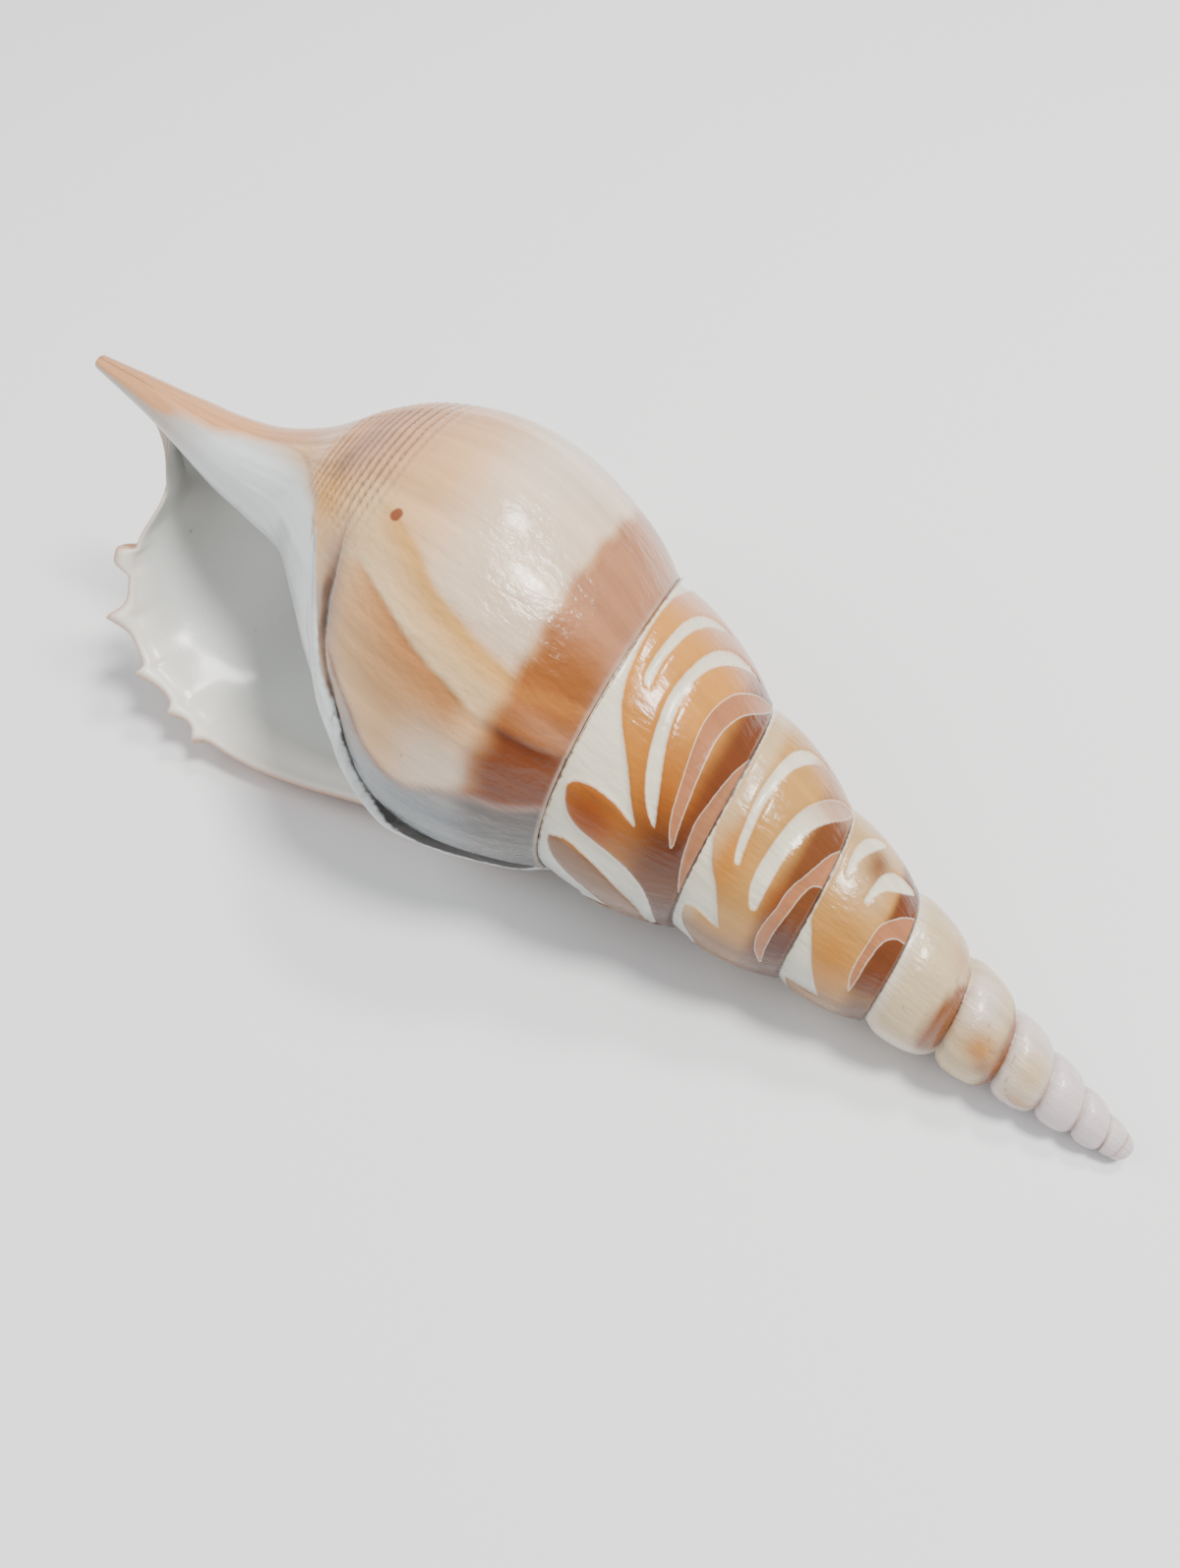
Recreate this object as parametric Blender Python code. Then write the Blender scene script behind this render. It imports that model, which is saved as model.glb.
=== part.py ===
"""Carved tibia shell: one closed solid, lying at rest on its apex, its back and its outer lip.

The surface is a strip that winds down the spire from the apex. Its lower edge is joined to the upper edge
of the next turn, which is the suture. The last turn goes on below that line to the tip of the canal, and a
hollow goes in from the outer lip between the last turn and the one before it.
"""
import bpy
import numpy as np

MM = 0.001

# The spire. An angle is counted in the direction of growth, and it is 0 on the side that carries the carving.
TURNS = 8.5
GROWTH = 0.03432
SPIRE_REACH = 85.2
FIRST_SUTURE = 0.79
SPIRE_RADIUS = 18.05
SPIRE_TAPER = -0.28816
SPIRE_CURVE = 0.00087
WHORL_BULGE = 0.075
APEX_X = 74.3

# The body whorl. The lip stands at LIP, and the hollow reaches DEPTH back from it.
LIP = np.radians(247.0)
START = LIP - 2 * np.pi
LEFT_SIDE = np.radians(90.0)
CLIMB_START = np.radians(100.0)
DEPTH = np.radians(205.0)
DEEPEST = np.radians(-315.0)
CLIMB_END_X = 1.8
WALL = 1.15
CANAL_TIP = (-79.5, 0.0, 3.6)

# The pose: the roll about the long axis and the pitch that bring three points to the ground.
ROLL = np.radians(25.10)
PITCH = np.radians(14.46)

# Outlines of the body whorl at three angles, from the suture to the canal, in millimetres. Each point is
# the position along the axis, the radius, and how far the middle of the canal stands off the axis.
WITHIN = np.array([
    (6.2, 16.3, 0.0), (1.8, 19.2, 0.0), (-5.5, 22.2, 0.0), (-12.7, 23.0, 0.0), (-20.1, 20.8, 0.0),
    (-27.6, 16.4, 0.0), (-35.3, 11.4, 0.0), (-42.5, 7.8, 0.0), (-50.0, 6.0, 1.2), (-56.5, 4.9, 1.9),
    (-63.5, 3.4, 2.4), (-66.6, 2.8, 2.55), (-71.0, 2.1, 2.8), (-79.0, 0.9, 3.5)])
MIDDLE = np.array([
    (-3.9, 19.2, 0.0), (-9.0, 21.7, 0.0), (-16.5, 23.5, 0.0), (-23.5, 24.0, 0.0), (-31.0, 22.7, 0.0),
    (-38.5, 19.2, 0.0), (-43.5, 14.8, 0.0), (-48.6, 8.9, 0.2), (-53.7, 6.0, 1.3), (-59.0, 4.7, 2.2),
    (-64.5, 3.5, 2.4), (-67.6, 2.9, 2.6), (-71.8, 2.2, 2.85), (-79.0, 1.05, 3.5)])
AT_LIP = np.array([
    (1.8, 19.2, 0.0), (-4.0, 22.4, 0.0), (-12.0, 25.4, 0.0), (-19.9, 28.6, 0.0), (-27.5, 32.2, 0.0),
    (-35.5, 35.2, 0.0), (-43.5, 36.4, 0.0), (-51.5, 35.0, 0.0), (-58.0, 32.3, 0.0), (-62.9, 26.2, 0.0),
    (-64.6, 19.8, 0.0), (-64.4, 11.5, 0.0), (-69.5, 4.9, 0.0), (-79.0, 4.7, 0.0)])

# The five points of the outer lip: place, reach, half-width, lean towards the canal, squareness.
LIP_POINTS = (
    (9.52, 2.5, 0.24, 0.4, 5.0), (8.48, 3.5, 0.16, 0.4, 1.4), (7.33, 1.9, 0.17, 1.8, 1.5),
    (6.58, 1.6, 0.12, 0.7, 1.6), (6.05, 1.6, 0.12, 0.1, 1.6))
POINT_SPAN = np.radians(7.0)

# The callus: the angle of its outer edge at each place down the whorl, its raised rim and the slit beside it.
EDGE_PLACES = (0, 0.6, 1.08, 1.56, 2.19, 2.64, 3.06, 3.33, 3.66, 3.87, 4.23, 4.5, 5.1, 5.88, 6.39, 6.7)
EDGE_ANGLES = (-88, -86.5, -84.5, -86, -85.5, -81, -77.5, -66, -50, -48, -44, -35, -18, 5, 36.5, 90)
RIM_PLACES = (0.2, 0.6, 1.6, 2.25, 2.75, 3.4, 4.1, 5.0)
RIM_HEIGHTS = (0.0, 0.35, 0.7, 1.25, 1.75, 1.2, 0.8, 0.0)
SLIT_PLACES = (0.3, 1.0, 2.0, 3.0, 3.8)
SLIT_DEPTHS = (0.0, 0.4, 0.6, 0.4, 0.0)
VARIX = 1.7
BACK_BULGE = 1.0

# The mesh. Columns lie closer together at the lip and at the callus, rows at the points of the lip.
TURN_STEPS = np.concatenate([(0, 2.5, 6.5, 13, 22), np.linspace(33, 318, 25), np.arange(322.5, 359, 4.4)])
WHORL_ROWS = 4
LIP_ROWS = np.array([
    3.2, 4.0, 4.7, 5.3, 5.7, 5.92, 6.05, 6.18, 6.33, 6.46, 6.58, 6.7, 6.95, 7.17, 7.33, 7.49, 7.9, 8.3,
    8.5, 8.7, 9.0, 9.29, 9.38, 9.72, 9.81, 10.2, 10.6, 11.0, 11.4, 11.8, 12.2, 12.6, 13.0])
HOLLOW_FIRST = 2
HOLLOW_LAST = 27
CAP_STEPS = (0.35, 0.62, 0.84)


def smooth(x):
    """Ease from 0 to 1."""
    x = np.clip(x, 0.0, 1.0)
    return x * x * (3 - 2 * x)


def spline(table, place):
    """Points of the smooth curve through the rows of a table."""
    last = len(table) - 1
    place = np.clip(place, 0, last)
    low = np.minimum(place.astype(int), last - 1)
    part = (place - low)[..., None]
    before = table[np.maximum(low - 1, 0)]
    after = table[np.minimum(low + 2, last)]
    first = table[low]
    second = table[low + 1]
    square = 2 * before - 5 * first + 4 * second - after
    cube = 3 * first - 3 * second + after - before
    return 0.5 * (2 * first + (second - before) * part + square * part ** 2 + cube * part ** 3)


def suture_x(angle):
    """Position of the suture along the axis. Behind the lip it climbs back towards the turn before."""
    regular = FIRST_SUTURE + SPIRE_REACH * (1 - np.exp(GROWTH * angle))
    span = LIP - CLIMB_START
    part = np.clip((angle - CLIMB_START) / span, 0, 1)
    start = FIRST_SUTURE + SPIRE_REACH * (1 - np.exp(GROWTH * CLIMB_START))
    slope = -SPIRE_REACH * GROWTH * np.exp(GROWTH * CLIMB_START) * span
    climb = (2 * part ** 3 - 3 * part ** 2 + 1) * start + (part ** 3 - 2 * part ** 2 + part) * slope
    climb = climb + (3 * part ** 2 - 2 * part ** 3) * CLIMB_END_X + (part ** 3 - part ** 2) * 4.0 * span
    return np.where(angle < CLIMB_START, regular, climb)


def suture_radius(angle):
    """Radius of the suture."""
    x = suture_x(angle)
    climbed = smooth((angle - CLIMB_START) / (LIP - CLIMB_START))
    return SPIRE_RADIUS + SPIRE_TAPER * x + SPIRE_CURVE * x * x + 1.6 * climbed


def suture(angle):
    """Points of the suture, as position along the axis, radius and offset."""
    return np.stack([suture_x(angle), suture_radius(angle), 0 * angle], -1)


def inner_outline():
    """The outline one turn further in: smaller and nearer the apex, with a thin pillar below."""
    shrunk = np.stack([85.9 - (85.9 - WITHIN[:, 0]) * 0.887, WITHIN[:, 1] * 0.79, WITHIN[:, 2]], 1)
    pillar = np.stack([WITHIN[:, 0], WITHIN[:, 1] * 0.62, WITHIN[:, 2]], 1)
    mix = smooth((np.arange(len(WITHIN)) - 5.0) / 4.0)[:, None]
    return shrunk * (1 - mix) + pillar * mix


def between_outlines(angle, within, middle, at_lip, deeper):
    """Blend of the four outlines at an angle: even up to the left side, then flaring out to the lip."""
    turn = LEFT_SIDE - START
    span = LIP - LEFT_SIDE
    angle = angle[..., None]
    back = np.clip((angle - DEEPEST) / (START - DEEPEST), 0, 1)
    early = deeper + (within - deeper) * back
    even = within + (middle - within) * (angle - START) / turn
    part = np.clip((angle - LEFT_SIDE) / span, 0, 1)
    carried = (part ** 3 - 2 * part ** 2 + part) * (middle - within) * span / turn
    late = middle + (at_lip - middle) * part ** 3 + carried
    return np.where(angle < START, early, np.where(angle < LEFT_SIDE, even, late))


def body(angle, place):
    """Points of the body whorl at an angle and a place down its outline. Its top edge is the suture."""
    deeper = inner_outline()
    tables = [spline(table, place) for table in (WITHIN, MIDDLE, AT_LIP, deeper)]
    points = between_outlines(angle, *tables)
    top = between_outlines(angle, WITHIN[0], MIDDLE[0], AT_LIP[0], deeper[0])
    fade = (1 - smooth(place / 1.6)) * (angle >= START)
    return points + (suture(angle) - top) * fade[..., None]


def outward(angle, place):
    """Unit vectors that stand out from the outline at an angle and a place."""
    along = body(angle, place + 0.05) - body(angle, place - 0.05)
    normal = np.stack([along[..., 1], -along[..., 0], 0 * along[..., 0]], -1)
    return normal / np.linalg.norm(normal, axis=-1, keepdims=True)


def with_points(angle, place, share):
    """Points of the wall, whose last few degrees are drawn out into the five points of the lip."""
    out = 0 * place
    lean = 0 * place
    for middle, reach, width, slope, square in LIP_POINTS:
        bump = np.exp(-np.abs((place - middle) / width) ** square)
        out = out + share * reach * bump
        lean = lean + slope * bump
    grow = smooth((angle - LIP + POINT_SPAN) / POINT_SPAN)[..., None]
    normal = outward(angle, place)
    along = np.stack([-normal[..., 1], normal[..., 0], 0 * normal[..., 0]], -1)
    return body(angle, place) + grow * (normal * out[..., None] + along * lean[..., None])


def relief(angle, place):
    """Height over the whorl: the rim of the callus, the slit, the thick part by the lip and the full back."""
    inside = np.degrees(np.radians(np.interp(place, EDGE_PLACES, EDGE_ANGLES)) - angle)
    rise = smooth(inside / 3.5) * (1 - smooth((inside - 10) / 11))
    dip = np.exp(-((inside + 0.3) / 1.2) ** 2)
    rim = np.interp(place, RIM_PLACES, RIM_HEIGHTS) * rise - np.interp(place, SLIT_PLACES, SLIT_DEPTHS) * dip
    behind = np.degrees(LIP - angle)
    thick = smooth(behind / 6) * (1 - smooth((behind - 12) / 14))
    thick = thick * smooth((place - 1.5) / 2) * (1 - smooth((place - 5.5) / 2))
    full = np.exp(-((np.degrees(angle) - 176) / 22) ** 2)
    full = full * smooth((place - 0.3) / 1.5) * (1 - smooth((place - 4) / 3))
    return rim + VARIX * thick + BACK_BULGE * full


def spire(angle, part):
    """Points of a spire whorl, bulging a little between its two sutures."""
    upper = suture(angle)
    lower = suture(angle + 2 * np.pi)
    across = lower - upper
    height = np.linalg.norm(across, axis=-1, keepdims=True)
    normal = np.stack([across[..., 1], -across[..., 0], 0 * part], -1) / height
    bulge = WHORL_BULGE * height * (1 - np.abs(2 * part - 1) ** 2.2)[..., None]
    return upper + across * part[..., None] + normal * bulge


def wall(angle, place):
    """Thickness of the shell: fuller towards the lip, thinner along the canal."""
    canal = 1 - 0.62 * smooth((place - 10.0) / 2)
    return WALL * canal * (0.8 + 0.35 * smooth((angle - LIP + 0.5) / 0.5))


def reach_in(place):
    """How far the hollow goes in at a place, as a share of its depth."""
    return 1 - 0.9 * smooth((place - 6) / 5)


def in_space(points, angle):
    """Points in space from positions along the axis, radii and offsets."""
    y = points[..., 1] * np.sin(angle) - points[..., 2]
    z = points[..., 1] * np.cos(angle)
    return np.stack([points[..., 0], y, z], -1)


def rows_from(first, rows, width):
    """Row places that start at another value and run into the same ones further down."""
    return rows[None, :] - (rows[0] - first[:, None]) * (1 - smooth((rows[None, :] - rows[0]) / width))


class ShellMesh:
    """The corners and faces of the shell, gathered piece by piece."""

    def __init__(self):
        """Start with nothing."""
        self.points = []
        self.faces = []
        self.count = 0

    def add(self, points):
        """Add points and return their numbers in the same arrangement."""
        points = np.asarray(points, float)
        shape = points.shape[:-1]
        self.points.append(points.reshape(-1, 3))
        numbers = np.arange(self.count, self.count + int(np.prod(shape)))
        self.count += len(numbers)
        return numbers.reshape(shape)

    def sheet(self, grid):
        """Fill a grid of numbers with triangles."""
        a = grid[:-1, :-1].ravel()
        b = grid[1:, :-1].ravel()
        c = grid[1:, 1:].ravel()
        d = grid[:-1, 1:].ravel()
        self.faces.append(np.stack([a, b, c], 1))
        self.faces.append(np.stack([a, c, d], 1))

    def seam(self, one, other, one_places, other_places):
        """Join two lines of numbers whose ends meet or face each other."""
        i = 0
        j = 0
        found = []
        while i < len(one) - 1 or j < len(other) - 1:
            first_free = i < len(one) - 1
            second_free = j < len(other) - 1
            if first_free and (not second_free or one_places[i + 1] <= other_places[j + 1]):
                found.append((one[i], one[i + 1], other[j]))
                i += 1
            else:
                found.append((one[i], other[j + 1], other[j]))
                j += 1
        self.faces.append(np.array(found))

    def fan(self, middle, ring):
        """Close a ring of numbers to one middle point."""
        after = np.roll(ring, -1)
        self.faces.append(np.stack([np.full(len(ring), middle), ring, after], 1))

    def finished(self):
        """The used points and the faces that have three different corners."""
        points = np.vstack(self.points)
        faces = np.vstack(self.faces)
        whole = (faces[:, 0] != faces[:, 1]) & (faces[:, 1] != faces[:, 2]) & (faces[:, 0] != faces[:, 2])
        faces = faces[whole]
        used = np.unique(faces)
        renumber = np.zeros(len(points), int)
        renumber[used] = np.arange(len(used))
        return points[used], renumber[faces]


def shell_mesh():
    """Corners in millimetres and faces of the whole shell, in its own frame."""
    mesh = ShellMesh()
    per_turn = len(TURN_STEPS)
    columns = int(round((LIP / (2 * np.pi) + TURNS + 1) * per_turn))
    back = np.arange(columns, -1, -1)
    angles = LIP - np.radians(TURN_STEPS[back % per_turn]) - 2 * np.pi * (back // per_turn)
    begin = columns - per_turn
    k = WHORL_ROWS
    rows = len(LIP_ROWS)

    # The upper edge of the strip. Its first turn is a level ring, so that the apex can close over it.
    edge = suture(angles)
    edge[:per_turn] = edge[per_turn]
    grid = np.zeros((columns + 1, k + rows), int)
    grid[:, 0] = mesh.add(in_space(edge, angles))
    grid[0, 0] = grid[per_turn, 0]

    # The spire, whorl by whorl. The first turn widens from nothing.
    part = np.arange(1, k) / k
    shape = (begin, k - 1)
    parts = np.broadcast_to(part[None, :], shape)
    sides = np.broadcast_to(angles[:begin, None], shape)
    band = spire(sides, parts)
    upper = edge[:per_turn, None, :]
    lower = edge[per_turn:2 * per_turn, None, :]
    first = upper + (lower - upper) * part[None, :, None]
    first[..., 1] += WHORL_BULGE * (upper - lower)[..., 0] * (1 - np.abs(2 * part - 1) ** 2.2)
    band[:per_turn] = first
    grid[:begin, 1:k] = mesh.add(in_space(band, sides))
    grid[0, :] = grid[0, 0]

    # The last turn, from the suture to the canal.
    turn = angles[begin:]
    joint_place = 1.0 + 2.2 * smooth((turn - START) / np.radians(150))
    upper_places = joint_place[:, None] * np.arange(k)[None, :] / k
    places = np.concatenate([upper_places, rows_from(joint_place, LIP_ROWS, 4.5)], 1)
    around = np.broadcast_to(turn[:, None], places.shape)
    skin = with_points(around, places, 1.0)
    skin = skin + outward(around, places) * relief(around, places)[..., None]
    numbers = mesh.add(in_space(skin, around))
    numbers[:, 0] = grid[begin:, 0]
    grid[begin:] = numbers
    grid[:begin + 1, k] = grid[per_turn:columns + 1, 0]
    mesh.sheet(grid[:begin + 1, :k + 1])
    mesh.sheet(grid[begin:])

    # The hollow: its floor is the turn before, its ceiling the inside of the wall.
    count = int(np.argmin(np.abs(np.radians(TURN_STEPS) - DEPTH)))
    in_steps = np.radians(TURN_STEPS[count::-1])
    top = k - 1
    first_row = k + HOLLOW_FIRST
    last_row = k + HOLLOW_LAST
    lip_rows = LIP_ROWS[HOLLOW_FIRST:HOLLOW_LAST + 1]
    share = in_steps / DEPTH
    start_place = places[0, first_row]
    floor_places = rows_from(start_place + (5.0 - start_place) * share, lip_rows, 5.0)
    floor_places[-1] = places[0, first_row:last_row + 1]
    floor_sides = START - in_steps[:, None] * reach_in(floor_places)
    floor = body(floor_sides, floor_places)
    ceiling_places = places[per_turn - count:, top:last_row + 1]
    ceiling_sides = LIP - in_steps[:, None] * reach_in(ceiling_places)
    thickness = wall(ceiling_sides, ceiling_places)
    ceiling = with_points(ceiling_sides, ceiling_places, 0.75)
    ceiling = ceiling - outward(ceiling_sides, ceiling_places) * thickness[..., None]
    floor_points = in_space(floor, floor_sides)
    ceiling_points = in_space(ceiling, ceiling_sides)
    floor_points[:, -1] = 0.5 * (floor_points[:, -1] + ceiling_points[:, -1])
    floor_grid = mesh.add(floor_points)
    floor_grid[-1] = grid[begin, first_row:last_row + 1]
    ceiling_grid = mesh.add(ceiling_points)
    ceiling_grid[:, 0] = floor_grid[:, 0]
    ceiling_grid[:, -1] = floor_grid[:, -1]
    mesh.sheet(floor_grid)
    mesh.sheet(ceiling_grid[::-1])
    mesh.seam(floor_grid[0], ceiling_grid[0], floor_places[0], ceiling_places[0])

    # The rounded edge of the lip, with one row of points along its middle.
    middle = 0.5 * (skin[-1, top:last_row + 1] + ceiling[-1])
    ahead = LIP + 0.45 * thickness[-1] / middle[:, 1]
    edge_middle = mesh.add(in_space(middle, ahead))
    edge_middle[0] = grid[-1, top]
    edge_middle[-1] = grid[-1, last_row]
    mesh.sheet(np.stack([grid[-1, top:last_row + 1], edge_middle, ceiling_grid[-1]]))

    # Above and below the hollow the lip is closed against the turn before it.
    mesh.seam(grid[-1, :top + 1][::-1], grid[begin, k:first_row + 1][::-1],
              -places[-1, :top + 1][::-1], -LIP_ROWS[:HOLLOW_FIRST + 1][::-1])
    mesh.sheet(np.stack([grid[-1, last_row:], grid[begin, last_row:]]))
    tip = mesh.add(np.array([(CANAL_TIP[0], -CANAL_TIP[2], CANAL_TIP[1])]))[0]
    mesh.fan(tip, grid[begin:, -1])

    # The rounded apex.
    ring = grid[:per_turn, 0]
    sides = angles[:per_turn]
    for step in CAP_STEPS:
        height = edge[0, 0] + (APEX_X - edge[0, 0]) * np.sin(step * np.pi / 2)
        radius = edge[0, 1] * np.cos(step * np.pi / 2)
        level = np.stack([height + 0 * sides, radius + 0 * sides, 0 * sides], -1)
        higher = mesh.add(in_space(level, sides))
        mesh.sheet(np.stack([np.append(higher, higher[0]), np.append(ring, ring[0])], 1))
        ring = higher
    apex = mesh.add(np.array([(APEX_X, 0.0, 0.0)]))[0]
    mesh.fan(apex, ring[::-1])
    return mesh.finished()


def at_rest(points):
    """Turn the shell into its pose and set its box on the ground, centred on the origin, in metres."""
    roll = np.array([
        (1, 0, 0), (0, np.cos(ROLL), -np.sin(ROLL)), (0, np.sin(ROLL), np.cos(ROLL))])
    pitch = np.array([
        (np.cos(PITCH), 0, np.sin(PITCH)), (0, 1, 0), (-np.sin(PITCH), 0, np.cos(PITCH))])
    turned = points @ roll.T @ pitch.T
    low = turned.min(0)
    high = turned.max(0)
    shift = np.array([(low[0] + high[0]) / 2, (low[1] + high[1]) / 2, low[2]])
    return (turned - shift) * MM


def shell_material():
    """Glossy cream finish."""
    material = bpy.data.materials.new("shell")
    material.use_nodes = True
    surface = material.node_tree.nodes["Principled BSDF"]
    surface.inputs["Base Color"].default_value = (0.72, 0.55, 0.42, 1.0)
    surface.inputs["Roughness"].default_value = 0.25
    material.diffuse_color = (0.72, 0.55, 0.42, 1.0)
    return material


def build_shell():
    """Make the shell as one object."""
    points, faces = shell_mesh()
    data = bpy.data.meshes.new("shell")
    data.from_pydata(at_rest(points).tolist(), [], faces.tolist())
    data.materials.append(shell_material())
    data.validate()
    data.update()
    shell = bpy.data.objects.new("shell", data)
    bpy.context.scene.collection.objects.link(shell)
    return shell


def main():
    """Clear the scene and build the shell."""
    for old in list(bpy.data.objects):
        bpy.data.objects.remove(old, do_unlink=True)
    build_shell()


main()
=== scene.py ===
"""Carved tibia shell: its fine surface, its colours, the table, the light and the camera.

The shell's surface is computed from the same outlines as the solid. An angle is counted in the direction of
growth and is 0 on the side that carries the carving. On the spire a place runs from 0 at the upper suture of
a whorl to 1 at the lower one. On the last whorl it runs from 0 at the suture to 13 at the tip of the canal.
"""
import logging
from dataclasses import dataclass, field
from enum import Enum
from functools import partial

import bpy
import numpy as np
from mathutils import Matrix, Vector


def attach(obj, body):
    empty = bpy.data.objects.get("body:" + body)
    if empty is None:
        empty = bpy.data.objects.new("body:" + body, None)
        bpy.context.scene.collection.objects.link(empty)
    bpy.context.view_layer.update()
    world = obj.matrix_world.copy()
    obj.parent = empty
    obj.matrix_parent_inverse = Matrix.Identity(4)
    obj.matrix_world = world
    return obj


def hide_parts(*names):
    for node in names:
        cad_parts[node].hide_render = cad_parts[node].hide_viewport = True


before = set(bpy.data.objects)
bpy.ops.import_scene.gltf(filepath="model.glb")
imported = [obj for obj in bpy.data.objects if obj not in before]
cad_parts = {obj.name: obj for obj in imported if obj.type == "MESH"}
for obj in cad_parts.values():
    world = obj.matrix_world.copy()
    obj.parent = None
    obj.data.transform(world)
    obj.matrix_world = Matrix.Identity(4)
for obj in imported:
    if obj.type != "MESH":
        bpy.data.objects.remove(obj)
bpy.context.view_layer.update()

LOG = logging.getLogger("shell")
MM = 0.001
TURN = 2 * np.pi
PIGMENT_DEPTH = np.array((1.55, 1.6, 1.75))

# Millimetres for a degree and for a place in the middle of the last whorl, and for a place by its suture.
DEGREE_MM = 0.37
PLACE_MM = 6.6
SUTURE_MM = 4.5

# The height of the lowest spire whorl, and the heights between which a whorl starts to count as a small one.
FULL_WHORL = 16.5
SMALL_WHORLS = (11, 8.5)

Array = np.ndarray
Colour = tuple[float, float, float]
Lines = dict[str, tuple[Array, Array, Array]]
Socket = bpy.types.NodeSocket


class Zone(Enum):
    """The part of the shell that a point belongs to."""

    SPIRE = 0
    WHORL = 1
    INSIDE = 2
    EDGE = 3
    TIP = 4


def smooth(x: Array) -> Array:
    """Ease from 0 to 1 over the interval from 0 to 1."""
    x = np.clip(x, 0.0, 1.0)
    return x * x * (3 - 2 * x)


def ramp(x: Array, low: float, high: float) -> Array:
    """Ease from 0 at low to 1 at high."""
    return smooth((x - low) / (high - low))


def bell(x: Array, width: float = 1.0) -> Array:
    """A bell-shaped curve that is 1 where x is 0."""
    return np.exp(-(x / width) ** 2)


def spot(angle: Array, place: Array, centre: tuple, reach: tuple) -> Array:
    """A soft round patch, 1 at its centre."""
    return np.exp(-((angle - centre[0]) / reach[0]) ** 2 - ((place - centre[1]) / reach[1]) ** 2)


def linear(colour: Colour) -> Array:
    """Pigment in linear light for a screen colour of 0 to 255, deep enough for the soft studio light."""
    value = np.array(colour) / 255.0
    return np.where(value < 0.04045, value / 12.92, ((value + 0.055) / 1.055) ** 2.4) ** PIGMENT_DEPTH


def spline(table: Array, place: Array) -> Array:
    """Points of the smooth curve through the rows of a table.

    Args:
        table: One row for each knot.
        place: Where to read the curve, counted in knots from 0.

    Returns:
        Points with the shape of place and one more axis.
    """
    last = len(table) - 1
    place = np.clip(place, 0, last)
    low = np.minimum(place.astype(int), last - 1)
    part = (place - low)[..., None]
    before = table[np.maximum(low - 1, 0)]
    after = table[np.minimum(low + 2, last)]
    first = table[low]
    second = table[low + 1]
    square = 2 * before - 5 * first + 4 * second - after
    cube = 3 * first - 3 * second + after - before
    return 0.5 * (2 * first + (second - before) * part + square * part ** 2 + cube * part ** 3)


def rounded(points: list, steps: int = 5) -> Array:
    """A smooth line through a few points, with so many steps for each gap."""
    table = np.array(points, float)
    return spline(table, np.linspace(0, len(table) - 1, (len(table) - 1) * steps + 1))


def along_line(u: Array, v: Array, line: Array) -> tuple[Array, Array, Array]:
    """Distance from each point of the surface to a line, the side it lies on, and how far along it is.

    Args:
        u: First coordinates, in millimetres.
        v: Second coordinates, in millimetres.
        line: Points of the line, as rows of two.

    Returns:
        Distance, side (positive to the right of someone who walks along it) and share of the line's length.
    """
    best = np.full(u.shape, 1e9)
    side = np.zeros(u.shape)
    share = np.zeros(u.shape)
    count = len(line) - 1
    for i in range(count):
        (ax, ay), (bx, by) = line[i], line[i + 1]
        dx, dy = bx - ax, by - ay
        t = np.clip(((u - ax) * dx + (v - ay) * dy) / (dx * dx + dy * dy + 1e-12), 0, 1)
        gap = np.hypot(u - ax - t * dx, v - ay - t * dy)
        near = gap < best
        best = np.where(near, gap, best)
        side = np.where(near, np.sign((u - ax) * dy - (v - ay) * dx), side)
        share = np.where(near, (i + t) / count, share)
    return best, side, share


def inside_of(u: Array, v: Array, outline: Array) -> Array:
    """Distance to the nearest side of a closed outline, positive inside it.

    Args:
        u: First coordinates, in millimetres.
        v: Second coordinates, in millimetres.
        outline: Corners of the outline, as rows of two.

    Returns:
        The signed distance, in millimetres.
    """
    closed = np.vstack([outline, outline[:1]])
    gap = along_line(u, v, closed)[0]
    crossings = np.zeros(u.shape, int)
    for (ax, ay), (bx, by) in zip(closed[:-1], closed[1:]):
        across = (ay > v) != (by > v)
        at = ax + (v - ay) * (bx - ax) / (by - ay if by != ay else 1e-12)
        crossings += across & (u < at)
    return np.where(crossings % 2 == 1, gap, -gap)


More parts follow.
